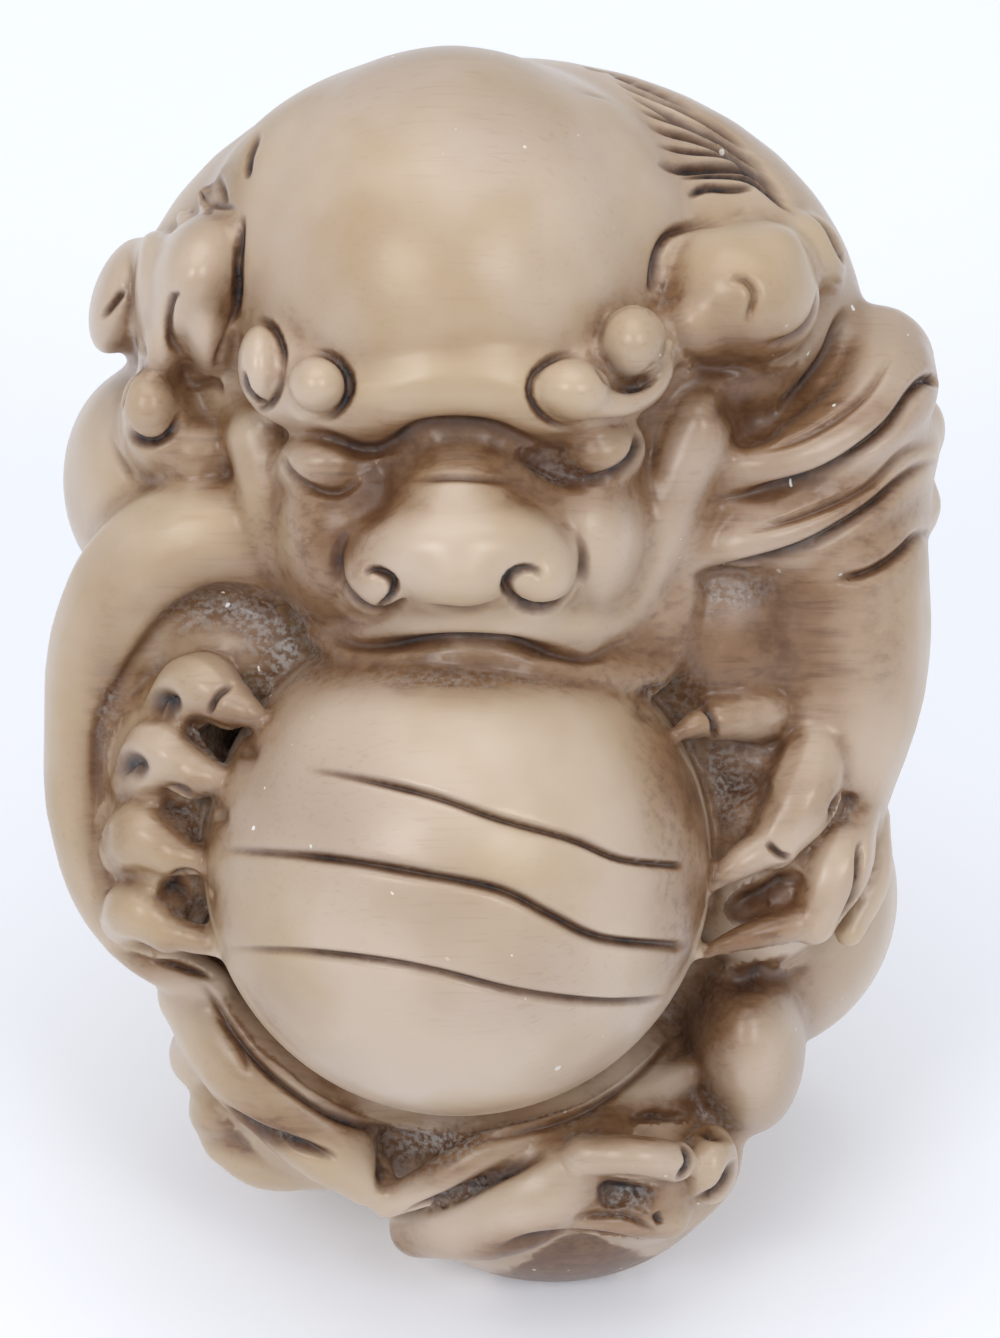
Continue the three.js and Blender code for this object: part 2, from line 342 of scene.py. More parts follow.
class Chisel:
    """Strokes and patches of stain and painted shade, gathered from every part and then worked into the
    skin.
    """

    NEAR = 2.4  # how far under the nearest surface a stroke still reaches
    CELL = 0.6  # the grain of the map of the nearest surface
    REACH = 60.0  # how far that map runs from the drawing's middle
    SLOPE = 0.22  # how squarely a surface must face a stroke to take all of it
    SPACING = 0.8  # how far apart the points of a stroke's line lie
    FADE = 0.25  # the share of a stroke over which each closed end fades
    FADE_CURVE = 0.7  # the power by which it fades
    SHARPNESS = 1.4  # how steeply the sides of a stroke fall away
    BLOCK = 4000  # how many points are measured at a time
    NARROW = 1.2  # the width under which a stroke needs finer faces

    def __init__(self) -> None:
        """Starts with no strokes."""
        self.strokes: list[Stroke] = []
        self.washes: list[Patch] = []
        self.dusts: list[Patch] = []

    def cut(
        self,
        path: Iterable[Stop],
        width: float,
        depth: float,
        stain: float = 1.0,
        open_start: bool = False,
        open_end: bool = False,
        face: Face = Face.FRONT,
    ) -> None:
        """Adds a stroke, given by the values that Stroke describes."""
        line = tuple(tuple(p) for p in path)
        self.strokes.append(Stroke(line, width, depth, stain, open_start, open_end, face))

    def wash(self, *patches: Patch) -> None:
        """Adds soft patches of brown on the front: stain, and in places painted shade."""
        self.washes.extend(patches)

    def dust(self, *patches: Patch) -> None:
        """Adds soft patches of grey dust on the front."""
        self.dusts.extend(patches)

    @staticmethod
    def spread(patches: Sequence[Patch], points: np.ndarray) -> np.ndarray:
        """The summed strength of soft patches at each point."""
        total = np.zeros(len(points))
        for across, up, wide, tall, strength in patches:
            gap = (points[:, :2] - (across, up)) / (wide, tall)
            total += strength * np.exp(-(gap**2).sum(1))
        return total

    def reach_of(self, stroke: Stroke, spots: np.ndarray) -> np.ndarray:
        """How strongly a stroke acts at places on the drawing.

        Args:
            stroke: The stroke.
            spots: Places, one to a row, across and up.

        Returns:
            A value from 0 to 1 for each place.
        """
        line = smooth_path(stroke.path, self.SPACING)
        run = line[1:] - line[:-1]
        length = np.maximum((run**2).sum(1), 1e-9)
        best = np.zeros(len(spots))
        low = line.min(0) - 3 * stroke.width
        high = line.max(0) + 3 * stroke.width
        near = np.nonzero(((spots > low) & (spots < high)).all(1))[0]
        for part in np.array_split(near, max(1, len(near) // self.BLOCK)):
            if not len(part):
                continue
            off = spots[part, None, :] - line[None, :-1, :]
            share = np.clip((off * run).sum(2) / length, 0.0, 1.0)
            gap = np.linalg.norm(off - share[..., None] * run, axis=2)
            nearest = gap.argmin(1)
            rows = np.arange(len(part))
            along = (nearest + share[rows, nearest]) / len(run)
            fade = np.ones(len(part))
            if not stroke.open_start:
                fade *= np.clip(along / self.FADE, 0.0, 1.0) ** self.FADE_CURVE
            if not stroke.open_end:
                fade *= np.clip((1 - along) / self.FADE, 0.0, 1.0) ** self.FADE_CURVE
            off_line = gap[rows, nearest] / stroke.width
            best[part] = np.exp(-self.SHARPNESS * off_line**2) * fade
        return best

    def facing(self, points: np.ndarray, normals: np.ndarray, face: Face) -> np.ndarray:
        """How squarely each point meets a stroke made from one side.

        Args:
            points: The skin's points.
            normals: Their normals.
            face: The side the strokes are made from.

        Returns:
            A value from 0 to 1 for each point, 0 where it is hidden.
        """
        out = points[:, 2] * face.value
        cells = ((points[:, :2] + self.REACH) / self.CELL).astype(int)
        side = int(2 * self.REACH / self.CELL) + 2
        index = np.clip(cells[:, 0], 0, side - 1) * side + np.clip(cells[:, 1], 0, side - 1)
        nearest = np.full(side * side, -self.REACH)
        np.maximum.at(nearest, index, out)
        grid = nearest.reshape(side, side)
        for axis in (0, 1):
            grid = np.maximum.reduce([grid, np.roll(grid, 1, axis), np.roll(grid, -1, axis)])
        for axis in (0, 1, 0, 1):
            grid = (np.roll(grid, 1, axis) + 2 * grid + np.roll(grid, -1, axis)) / 4
        hidden = np.clip((self.between(grid, points) - out) / self.NEAR - 0.3, 0.0, 1.0)
        square = np.clip((normals[:, 2] * face.value + 0.02) / self.SLOPE, 0.0, 1.0)
        return square * (1 - hidden**2)

    def between(self, grid: np.ndarray, points: np.ndarray) -> np.ndarray:
        """Reads a map of the drawing at each point, evenly between its cells."""
        spot = (points[:, :2] + self.REACH) / self.CELL - 0.5
        cell = np.clip(spot.astype(int), 0, grid.shape[0] - 2)
        u, v = (spot - cell).T
        x, y = cell.T
        near = grid[x, y] * (1 - u) + grid[x + 1, y] * u
        far = grid[x, y + 1] * (1 - u) + grid[x + 1, y + 1] * u
        return near * (1 - v) + far * v

    def refine(self, skin: bpy.types.Object) -> None:
        """Divides the faces near the strokes, so that the cuts come out clean."""
        mesh = skin.data
        points, normals = read_points(mesh)
        wanted = np.zeros(len(points), dtype=bool)
        for face in Face:
            seen = self.facing(points, normals, face) > 0.1
            chosen = np.nonzero(seen)[0]
            for stroke in self.strokes:
                if stroke.face is face and stroke.width < self.NARROW:
                    wanted[chosen] |= self.reach_of(stroke, points[chosen, :2]) > 0.12
        corners = np.empty(len(mesh.loops), dtype=np.int32)
        mesh.loops.foreach_get("vertex_index", corners)
        starts = np.empty(len(mesh.polygons), dtype=np.int32)
        mesh.polygons.foreach_get("loop_start", starts)
        picked = np.maximum.reduceat(wanted[corners].astype(np.int8), starts).astype(bool)
        pick(skin)
        bpy.ops.object.mode_set(mode="EDIT")
        bpy.ops.mesh.select_mode(type="FACE")
        bpy.ops.mesh.select_all(action="DESELECT")
        bpy.ops.object.mode_set(mode="OBJECT")
        mesh.polygons.foreach_set("select", picked)
        bpy.ops.object.mode_set(mode="EDIT")
        bpy.ops.mesh.subdivide(number_cuts=1, smoothness=0.0, quadcorner="INNERVERT")
        bpy.ops.object.mode_set(mode="OBJECT")
        log.info("refined: %d faces picked, %d now", int(picked.sum()), len(mesh.polygons))

    def carve(self, skin: bpy.types.Object) -> None:
        """Cuts every stroke into the skin and notes the stain that it holds."""
        mesh = skin.data
        points, normals = read_points(mesh)
        stain = np.zeros(len(points))
        for face in Face:
            seen = self.facing(points, normals, face)
            chosen = np.nonzero(seen > 0)[0]
            sunk = np.zeros(len(chosen))
            raised = np.zeros(len(chosen))
            for stroke in self.strokes:
                if stroke.face is not face:
                    continue
                pull = self.reach_of(stroke, points[chosen, :2])
                if stroke.depth > 0:
                    sunk = np.maximum(sunk, pull * stroke.depth)
                else:
                    raised = np.maximum(raised, pull * -stroke.depth)
                stain[chosen] = np.maximum(stain[chosen], pull * stroke.stain * seen[chosen])
            points[chosen] += normals[chosen] * ((raised - sunk) * seen[chosen])[:, None]
        front = self.facing(points, normals, Face.FRONT) > 0
        wash = self.spread(self.washes, points) * front
        dust = self.spread(self.dusts, points) * front
        mesh.vertices.foreach_set("co", points.ravel())
        mesh.update()
        write_values(mesh, "stain", stain)
        write_values(mesh, "wash", wash)
        write_values(mesh, "dust", dust)
        log.info("carved %d strokes", len(self.strokes))


def read_points(mesh: bpy.types.Mesh) -> tuple[np.ndarray, np.ndarray]:
    """The points of a mesh and their normals, one to a row."""
    points = np.empty(len(mesh.vertices) * 3)
    mesh.vertices.foreach_get("co", points)
    normals = np.empty(len(mesh.vertices) * 3)
    mesh.vertex_normals.foreach_get("vector", normals)
    return points.reshape(-1, 3), normals.reshape(-1, 3)


def write_values(mesh: bpy.types.Mesh, name: str, values: np.ndarray) -> None:
    """Stores one value at each point of a mesh, under a name."""
    layer = mesh.attributes.get(name) or mesh.attributes.new(name, "FLOAT", "POINT")
    layer.data.foreach_set("value", values.astype(np.float32))


@dataclass
class Trunk:
    """The trunk, the rump, the haunches and the rounded seat.

    Attributes:
        masses: Middle and radii of each mass, and whether it leans with the bow.
    """

    masses: tuple[tuple[Stop, Stop, bool], ...] = (
        ((0, -2, -11), (28.5, 36, 18), True),
        ((0, 14, -10), (33, 18, 16), True),
        ((0, -24, -11), (27, 20, 19), False),
        ((4.5, -36.5, 4), (15.5, 13, 16), False),
        ((-27.5, 15.5, -9), (7.4, 9.6, 11), False),
        ((-9, -29, 5), (14, 10, 12), False),
        ((19.4, -18, -6), (13.3, 13.4, 15), False),
        ((-17, -19, -6), (12.6, 13, 15), False),
    )

    def model(self, clay: Clay) -> None:
        """Puts the masses on."""
        lean = math.degrees(DRAWING.bow_angle)
        for at, radii, leaning in self.masses:
            clay.lump(Stage.BROAD, at, radii, pitch=lean if leaning else 0.0)

    def carve(self, chisel: Chisel) -> None:
        """Paints brown shade into the hollow under the seat's front, darkens a patch by the right knee,
        and cuts a line under the seat.
        """
        # Painted shade: strong brown under the seat's front and its left end, where the figure meets the
        # floor; a softer brown patch by the right knee.
        chisel.wash((6.4, -47.4, 6.6, 2.4, 3.0), (-8.5, -46.4, 3, 2.4, 1.0), (20, -24, 4.6, 3, 1.5))
        chisel.cut(
            ((-0.6, -46.4), (2.3, -45.2), (6.4, -44.9), (9.6, -45.3), (13, -46.2)),
            0.5, 0.7, stain=0.7,
        )


@dataclass
class Head:
    """The skull, the hair behind it, the brow, cheeks, muzzle and jaw.

    Attributes:
        middle: The face's own middle line, across.
        crest: Middle and radii of the mass of hair behind the skull.
    """

    middle: float = -3.2
    crest: tuple[Stop, Stop] = ((0, 27, -9.5), (29.5, 22.3, 16.5))

    def model(self, clay: Clay) -> None:
        """Puts the masses on."""
        m = self.middle
        clay.lump(Stage.BROAD, *self.crest)
        clay.lump(Stage.BROAD, (m - 0.4, 31, -3), (17.6, 18.6, 18), rings=36)
        clay.lump(Stage.BROAD, (m - 0.4, 33, -6), (20.4, 16.2, 17), rings=36)
        clay.lump(Stage.BROAD, (m, 25.5, 2.5), (17, 7, 13.5))
        clay.lump(Stage.BROAD, (m, 11.5, 8), (13, 10, 12))
        for across in (-12.4, 6.8):
            clay.lump(Stage.BROAD, (across, 11.5, 9), (5.4, 8, 8.5))
        clay.bar(
            Stage.MIDDLE, (-15.6, 23.8, 8.5, 4.7), (-10, 22.3, 12, 4.5), (m, 23.4, 13.6, 4.3),
            (4, 22.3, 12.3, 4.5), (9.6, 24.4, 8.5, 4.4),
        )
        clay.bar(
            Stage.MIDDLE, (-18.8, 18.6, 6, 2.6), (-17, 12, 9, 2.7), (-14.8, 7.4, 11, 2.6),
            (-11.6, 4.7, 13.2, 2.3), (-7, 4.4, 17.4, 2.3), (-2, 4.4, 19.4, 2.4), (4, 4, 17.6, 2.3),
            (8.6, 4.5, 13.4, 2.3), (11.4, 8.4, 10.6, 2.5), (13.6, 13.6, 8.6, 2.7),
            (16, 19.6, 6.5, 2.8),
        )
        clay.bar(
            Stage.MIDDLE, (-13.6, 3.2, 12.5, 1.6), (-10, 1.3, 16.4, 2.1), (-5, 1.2, 18.8, 2.2),
            (0, 1, 19.4, 2.2), (5, 0.3, 18.2, 2.2), (9.4, -0.4, 15, 2.1), (12.6, 0.6, 12, 1.8),
            (14, 4.4, 10.4, 1.5), (15, 9.4, 9, 1.5), (17, 14, 7, 1.6),
        )
        clay.bar(Stage.MIDDLE, (-6.5, 16, 14.6, 1.6), (m, 16.2, 16.2, 2), (1.5, 16, 15, 1.6))
        clay.lump(Stage.MIDDLE, (12, 5, 8.4), (3.4, 4.6, 4.4))
        clay.lump(Stage.MIDDLE, (10.6, 2.2, 11.6), (2.2, 2, 2.6))

    def carve(self, chisel: Chisel) -> None:
        """Cuts the brow's edge with its shadow painted in as dark stain, then the corners of the eyes,
        the mouth and the wrinkles.
        """
        chisel.wash(
            (-9, 15.2, 4.2, 3.8, 1.0), (-11.5, 11, 3, 4, 0.55), (4, 15.8, 5.4, 2.8, 1.25),
            (10, 13.6, 3.4, 2.6, 0.3), (-3, 18, 6, 1.8, 0.8), (-15, 11, 4.4, 7, 0.75),
            (-5, 32, 12, 5, 0.12), (-16, 28, 3, 6, 0.12), (0, 0.4, 14, 2.2, 0.95),
            (-3, 19.8, 12, 1.4, 0.35), (-8, 30, 9, 5, 0.14), (-14, 36, 4, 6, 0.08),
        )
        # The stain in the cut along the brow's lower edge is painted shadow of the overhanging brow.
        brow = (
            (-17.5, 18.9), (-14, 18.5), (-10.4, 17.3), (-8.4, 17.6), (-6, 18.9), (-3, 19.2),
            (0, 18.8), (3, 17.7), (5.5, 17.3),
        )
        chisel.cut(brow, 0.6, 0.9, stain=0.75)
        chisel.cut(((-9.8, 16.6), (-8.9, 15.2), (-9.4, 13.2), (-10.6, 11.6)), 1.3, 0.8, stain=0.42)
        chisel.cut(((1.4, 17.4), (3.4, 16.5), (5.4, 15.4), (7.6, 14.8)), 0.9, 0.9, stain=0.6)
        chisel.cut(((-6.6, 15), (-3, 15.2), (1.5, 14.8)), 0.4, 0.35, stain=0.5)
        chisel.dust((0, -0.6, 14, 0.8, 0.8), (12, -1.6, 2, 2, 0.7), (5, 16, 3, 1.4, 0.3))
        mouth = ((-13.4, 3), (-11, 2.2), (-7, 2.3), (-3, 2.5), (1, 2.3), (4, 1.7), (7.4, 1.2), (10, 2.6))
        chisel.cut(mouth, 0.55, 1.1, stain=0.7)


@dataclass
class Nose:
    """The broad nose with its curled wings."""

    def model(self, clay: Clay) -> None:
        """Puts the masses on."""
        clay.lump(Stage.MIDDLE, (-3, 9.6, 17.2), (8.6, 4.9, 7.8))
        clay.lump(Stage.MIDDLE, (-3, 7.9, 20.4), (4.8, 3.4, 5.4))
        clay.lump(Stage.MIDDLE, (-3, 13.4, 15.4), (5, 3.8, 6))
        clay.lump(Stage.MIDDLE, (-9.2, 7.5, 18.6), (3.2, 3.1, 4.8))
        clay.lump(Stage.MIDDLE, (3.2, 7.8, 18.6), (3.3, 3.2, 4.8))

    def carve(self, chisel: Chisel) -> None:
        """Cuts the spirals of the nostrils and the folds round the wings."""
        chisel.cut(
            ((-10.4, 7.6), (-9.7, 8.1), (-8.7, 7.7), (-8, 7), (-8, 6), (-8.8, 5.2), (-9.6, 4.8)),
            0.38, 0.8,
        )
        chisel.cut(
            ((-11.6, 11.2), (-12.5, 9), (-12.4, 7.2), (-11.4, 5.7), (-10, 4.7), (-8.6, 4.5), (-7.2, 5.2)),
            0.5, 1.1, open_end=True,
        )
        chisel.cut(
            ((-7.2, 5.9), (-6, 5.1), (-4, 4.8), (-2, 4.7), (0, 5.3), (0.8, 6.2)),
            0.4, 0.6, stain=0.5,
        )
        chisel.cut(
            (
                (3.4, 7.1), (3.1, 8), (2.2, 8.1), (1.2, 7.6), (0.8, 6.7), (1.2, 5.7), (2.2, 5.1),
                (3.6, 4.9), (5.2, 5.3), (6.3, 6.3), (6.8, 8), (6.7, 9.6), (6.1, 11.2),
            ),
            0.45, 0.9,
        )


@dataclass
class Eyes:
    """The drooping eyes under the brow."""

    left: Stop = (-13.2, 16.5, 10.6)
    right: Stop = (8, 17.2, 10.8)

    def model(self, clay: Clay) -> None:
        """Puts the masses on."""
        clay.lump(Stage.MIDDLE, self.left, (4.2, 2.7, 5), roll=4)
        clay.lump(Stage.MIDDLE, self.right, (3.8, 3, 5), roll=18)

    def carve(self, chisel: Chisel) -> None:
        """Cuts the lids' edges."""
        left_edge = ((-17, 17.4), (-16.3, 15.6), (-14.6, 14.4), (-12.4, 14.1), (-10.4, 15.2))
        chisel.cut(left_edge, 0.45, 0.7, stain=0.55)
        right_edge = ((5, 16), (6.8, 15), (9, 15.4), (10.6, 16.6), (11.2, 18.4), (10.9, 20.2))
        chisel.cut(right_edge, 0.5, 0.8, stain=0.8)


@dataclass
class BrowCurls:
    """The scrolls at the ends of the brows."""

    def model(self, clay: Clay) -> None:
        """Puts the masses on."""
        clay.lump(Stage.FINE, (-18.5, 24, 10.2), (1.7, 3.2, 3.4))
        clay.lump(Stage.FINE, (-13.9, 22.4, 15.4), (2.3, 2.2, 3))
        clay.lump(Stage.FINE, (5.9, 22, 16.2), (3, 2.4, 2.9), roll=-10)
        clay.lump(Stage.FINE, (10.6, 25.8, 13), (2.6, 2.8, 3.6))
        clay.bar(
            Stage.FINE, (7.6, 20.9, 16.6, 1.2), (10.4, 21.2, 14.6, 1.1), (12.7, 23, 12.4, 0.9),
            (13.2, 25.4, 10.4, 0.8),
        )

    def carve(self, chisel: Chisel) -> None:
        """Cuts the rings and crescents round the scrolls."""
        chisel.cut(arc((-18.6, 24), (2.1, 3.6), 140, -150), 0.34, 0.6, stain=0.8)
        chisel.cut(((-19.8, 23.6), (-19.4, 22), (-18.4, 21.1), (-17.4, 20.9)), 0.3, 0.4, stain=0.9)
        chisel.cut(arc((-13.9, 22.3), (2.6, 2.6), 110, -105), 0.34, 0.8)
        chisel.cut(arc((5.9, 21.9), (3.4, 2.9), 75, 280), 0.34, 0.6, stain=0.8)
        chisel.cut(
            ((7, 25), (8, 24.2), (8.7, 23), (9.8, 22.4), (11, 22.5), (12.1, 23.2), (12.5, 24.2)),
            0.5, 1.1,
        )
        chisel.cut(arc((10.7, 25.7), (2.9, 3.1), 200, 60), 0.35, 0.4, stain=0.5)


@dataclass
class Ears:
    """Both ears and the curls of hair below and behind the left one."""

    def model(self, clay: Clay) -> None:
        """Puts the masses on."""
        clay.lump(Stage.MIDDLE, (18.9, 29.8, 1), (6.6, 5.6, 7.5), roll=-14)
        clay.lump(Stage.MIDDLE, (21, 32.4, -0.6), (3.8, 3.2, 6))
        clay.lump(Stage.MIDDLE, (24.8, 33.4, -6), (2.6, 3.6, 4.6), roll=35)
        clay.lump(Stage.MIDDLE, (15.6, 27.4, 4), (3.4, 3.2, 5))
        clay.lump(Stage.MIDDLE, (-23.4, 31.2, -1), (3.7, 5.2, 8), roll=-20)
        clay.lump(Stage.MIDDLE, (-22.8, 27.4, -0.6), (2.2, 4.2, 7.4), roll=8)
        clay.lump(Stage.MIDDLE, (-25.6, 29.6, -2.4), (1.9, 4.6, 7.4), roll=-6)
        clay.lump(Stage.MIDDLE, (-27, 30.4, -4), (1.9, 4.8, 6))
        clay.lump(Stage.MIDDLE, (-26.4, 25.6, -1.4), (2, 3, 6))
        clay.lump(Stage.MIDDLE, (-29.6, 30, -8), (2.5, 5, 6), roll=-20)
        clay.lump(Stage.MIDDLE, (-26.6, 20, -1), (3.2, 4.8, 6.6))
        clay.lump(Stage.MIDDLE, (-23.5, 17.4, 0), (4.5, 4, 6))
        clay.lump(Stage.FINE, (-27.4, 21.2, 3.7), (2.2, 2.7, 2.2))

    def carve(self, chisel: Chisel) -> None:
        """Cuts the folds of the ears and the curls round them."""
        chisel.wash(
            (-23, 16.6, 4, 2.4, 0.6), (-25, 24, 4, 1.8, 0.4), (19, 24.6, 6, 1.8, 0.5),
            (18, 29, 5.4, 4.4, 0.5),
        )
        chisel.wash(
            (-23, 30, 3, 5, 0.35), (-30, 29, 2, 5, 0.4), (-27, 20, 3, 4, 0.5), (21, 25, 5, 2, 0.5),
        )
        chisel.cut(
            ((18, 30.8), (19.3, 30.6), (20, 29.6), (19.8, 28.3), (19.3, 27.2)),
            0.4, 0.6, stain=0.3,
        )
        chisel.cut(
            (
                (12, 27.6), (12.2, 30.5), (12.6, 32.8), (13.6, 34.4), (15.4, 35.2), (18, 35.6),
                (19.8, 36.6),
            ),
            0.4, 0.8, stain=0.7,
        )
        chisel.cut(
            ((23.3, 35.5), (24.9, 32.9), (25.6, 30.4), (24.9, 27.8), (23.3, 26.2), (20.9, 25.5)),
            0.4, 0.9, stain=0.8,
        )
        chisel.cut(
            ((23.6, 37.2), (25.8, 35.8), (27.2, 33.2), (28.4, 31.4), (27, 30.6), (26, 31)),
            0.35, 0.7, stain=0.6,
        )
        chisel.cut(((20.6, 24.4), (18, 23.8), (15.2, 24.2), (13, 25.6)), 0.6, 0.8, stain=0.6)
        chisel.cut(
            ((-19.9, 36), (-20.2, 33), (-20.3, 30), (-20.8, 27), (-22.3, 23.6)),
            0.36, 0.9, stain=1.0,
        )
        chisel.cut(
            ((-24.6, 29.6), (-25.4, 29.4), (-25.8, 28), (-25.6, 26.4), (-24.6, 24.8)),
            0.42, 0.7, stain=0.6,
        )
        chisel.cut(((-29.4, 30.4), (-30.4, 29), (-31.4, 28)), 0.4, 0.7, stain=0.7)
        chisel.cut(((-28.4, 34.4), (-29, 31), (-28.8, 27.6), (-27.6, 24.6)), 0.4, 0.8, stain=0.5)
        chisel.cut(((-28, 35), (-25.6, 35.4), (-22.8, 36.8), (-20.4, 36.4)), 0.35, 0.7, stain=0.7)
        chisel.cut(arc((-27.3, 21), (2.5, 3), 200, 350), 0.42, 0.9)
        chisel.cut(
            ((-27.6, 24.8), (-29.2, 23.2), (-30, 20.6), (-29.9, 17.6), (-28.4, 14.6)),
            0.45, 0.8, stain=0.5,
        )
        chisel.cut(((-24.6, 22.6), (-22.6, 22.9), (-21, 22.2)), 0.5, 0.8, stain=0.5)


@dataclass
class Mane:
    """The combed hair, the heavy locks at the right shoulder and the locks down the back.

    Attributes:
        crest: Middle and radii of the mass of hair behind the skull.
        fan: Degrees between neighbouring locks at the back.
        lock: Share of the fan, degrees down the crest and radius at each stop of a back lock.
        strands: The strands above the left ear.
    """

    crest: tuple[Stop, Stop] = Head.crest
    fan: float = 24.0
    lock: tuple[Stop, ...] = ((0.7, 36, 1.2), (0.9, 56, 6), (1, 92, 6.6), (1.05, 126, 3.2))
    strands: tuple[tuple[Stop, ...], ...] = (
        ((-21.2, 39.4, -5.4, 0.7), (-20.9, 37.8, -3, 0.8), (-20.4, 36, -1.2, 0.7)),
        ((-23, 37.8, -6, 0.7), (-22.6, 36.6, -4, 0.8), (-21.9, 35.4, -2.4, 0.7)),
        ((-24.8, 36, -7, 0.7), (-24.3, 35.2, -5, 0.8), (-23.4, 34.4, -3.2, 0.7)),
    )

    def on_crest(self, sideways: float, down: float) -> tuple[float, float, float]:
        """A place on the hair behind the skull.

        Args:
            sideways: Degrees round to the right.
            down: Degrees down the back.

        Returns:
            Across, up and out.
        """
        at, radii = self.crest
        side, back = math.radians(sideways), math.radians(down)
        return (
            at[0] + radii[0] * math.sin(side),
            at[1] + radii[1] * math.cos(side) * math.cos(back),
            at[2] - radii[2] * math.cos(side) * math.sin(back),
        )

    def model(self, clay: Clay) -> None:
        """Puts the locks on."""
        for k in range(-2, 3):
            stops = [
                (*self.on_crest(k * self.fan * spread, down), radius)
                for spread, down, radius in self.lock
            ]
            clay.bar(Stage.MIDDLE, *stops)
        for strand in self.strands:
            clay.bar(Stage.FINE, *strand)
        clay.lump(Stage.BROAD, (26, 16.4, -3.4), (9, 9, 8))
        clay.bar(
            Stage.MIDDLE, (30, 24.5, -7, 5), (30.2, 21.4, -0.4, 4.3), (25.6, 18, 4.6, 3.2),
            (20.5, 16.4, 6.8, 2.1), (17.5, 16.6, 7, 1.1),
        )
        clay.bar(
            Stage.MIDDLE, (32.4, 19.5, -8, 3.6), (30.4, 15.8, 0.8, 3.6), (24.5, 12, 6.2, 3.2),
            (19, 10.2, 8.5, 2.4), (15.6, 9, 8.5, 1.2),
        )
        clay.bar(Stage.MIDDLE, (32, 13.5, -5, 3.6), (29.4, 10.2, 2.2, 3.3), (23, 7, 5.6, 2.4))
        clay.lump(Stage.MIDDLE, (18.6, 14.2, 4.4), (4.6, 5, 4))

    def carve(self, chisel: Chisel) -> None:
        """Cuts the strands of the combed hair and the folds between the locks."""
        chisel.wash(
            (-23, 39, 3, 4, 0.7), (20.5, 20.6, 5.4, 3.6, 1.15), (22, 13.4, 8, 2.2, 0.75),
            (30, 9.4, 6, 2, 0.5),
        )
        chisel.wash((15, 42, 6, 5, 0.35), (28.7, 20.4, 6, 2.2, 0.6), (29, 14, 6, 2, 0.5))
        for path, width, depth in (
            (((3.6, 49), (7, 48.4), (10.4, 47.2), (14, 45.7), (16.4, 44.2)), 0.34, 0.8),
            (((7.4, 47.2), (10, 46.7), (13, 45.6), (15.4, 44.5), (18, 43), (20, 41.4)), 0.36, 0.9),
            (((9.4, 46.2), (12, 45.2), (15, 43.6), (17.4, 42.6), (19.5, 41.2), (21.6, 39.4)), 0.38, 1.0),
            (((11.4, 43.4), (13.4, 42.8), (15.8, 42.3), (18.6, 41.2), (20.9, 39.3), (23, 37)), 0.4, 1.1),
            (((12.6, 40.2), (14.4, 39.7), (17.3, 40), (20.2, 39.8), (22.7, 37.7)), 0.5, 1.0),
            (((15, 37.4), (16.4, 38.2), (18.4, 38.2), (20.4, 38.4)), 0.4, 0.6),
            (((16, 39.2), (18.6, 39.3), (21, 39)), 0.3, 0.4),
            (((2, 48), (6, 47.4), (9.6, 46.8), (12.6, 46)), 0.28, 0.6),
            (((6, 45.8), (9, 45.2), (12, 44.2)), 0.26, 0.4),
            (((10, 44.8), (13, 44), (16, 43), (19, 41.6), (21.4, 40)), 0.3, 0.7),
            (((12.4, 41.6), (15, 41.2), (18, 41), (20.8, 40)), 0.28, 0.6),
            (((14.2, 38.9), (17, 39.3), (20, 39), (22.4, 37.2), (24, 35.6)), 0.3, 0.6),
            (((-23.8, 40), (-22.8, 40.8), (-22, 39), (-21.2, 36.4)), 0.35, 0.7),
            (((-24.6, 38.2), (-23.2, 37.6), (-22.4, 36)), 0.4, 0.7),
            (((-26.4, 35.2), (-25.6, 36.8), (-24, 37.2)), 0.35, 0.6),
            (((-18.6, 42.6), (-19.4, 40.6), (-19.6, 38.6)), 0.35, 0.5),
        ):
            chisel.cut(path, width, depth, stain=0.85)
        chisel.cut(
            (
                (35.6, 23.2), (34.3, 23.3), (33, 22.3), (31, 19.5), (28, 17), (25, 15.3), (21, 14.2),
                (17, 13.6),
            ),
            0.6, 1.2, stain=0.75, open_start=True,
        )
        chisel.cut(((28, 29), (27, 27.5), (26, 25), (24.4, 22.8), (22, 20.4)), 0.6, 1.1, stain=0.7)
        chisel.cut(((31.4, 25.6), (28.6, 21.6), (24.6, 18.8), (20.6, 17.4)), 0.4, 0.45, stain=0.25)
        chisel.cut(((35.4, 18.8), (32.5, 17.6), (29, 14.6), (24, 12.4), (19, 11)), 0.45, 0.6, stain=0.4)
        chisel.cut(
            (
                (35.5, 16.8), (34, 16.6), (32, 15.2), (30, 13.4), (28, 12), (25, 10.2), (22, 9),
                (18, 8), (15, 7.4),
            ),
            0.6, 1.1, stain=0.75,
        )
        chisel.cut(
            ((35, 11.4), (33.5, 11), (32.5, 10), (31, 8.8), (29, 7.8), (26.6, 7.4)),
            0.5, 0.9, stain=0.7,
        )
        chisel.cut(((17, 22), (19.5, 20), (22.5, 19.6)), 1.8, 0.8, stain=0.35)
        for k in range(-5, 6):
            across = k * 4.6
            path = [
                (across * 0.55, 44 - abs(k) * 0.8),
                (across * 0.85, 34 - abs(k) * 0.5),
                (across, 22),
                (across * 1.02 + 1.2, 12),
            ]
            chisel.cut(path, 0.6, 0.9, stain=0.7, face=Face.BACK)


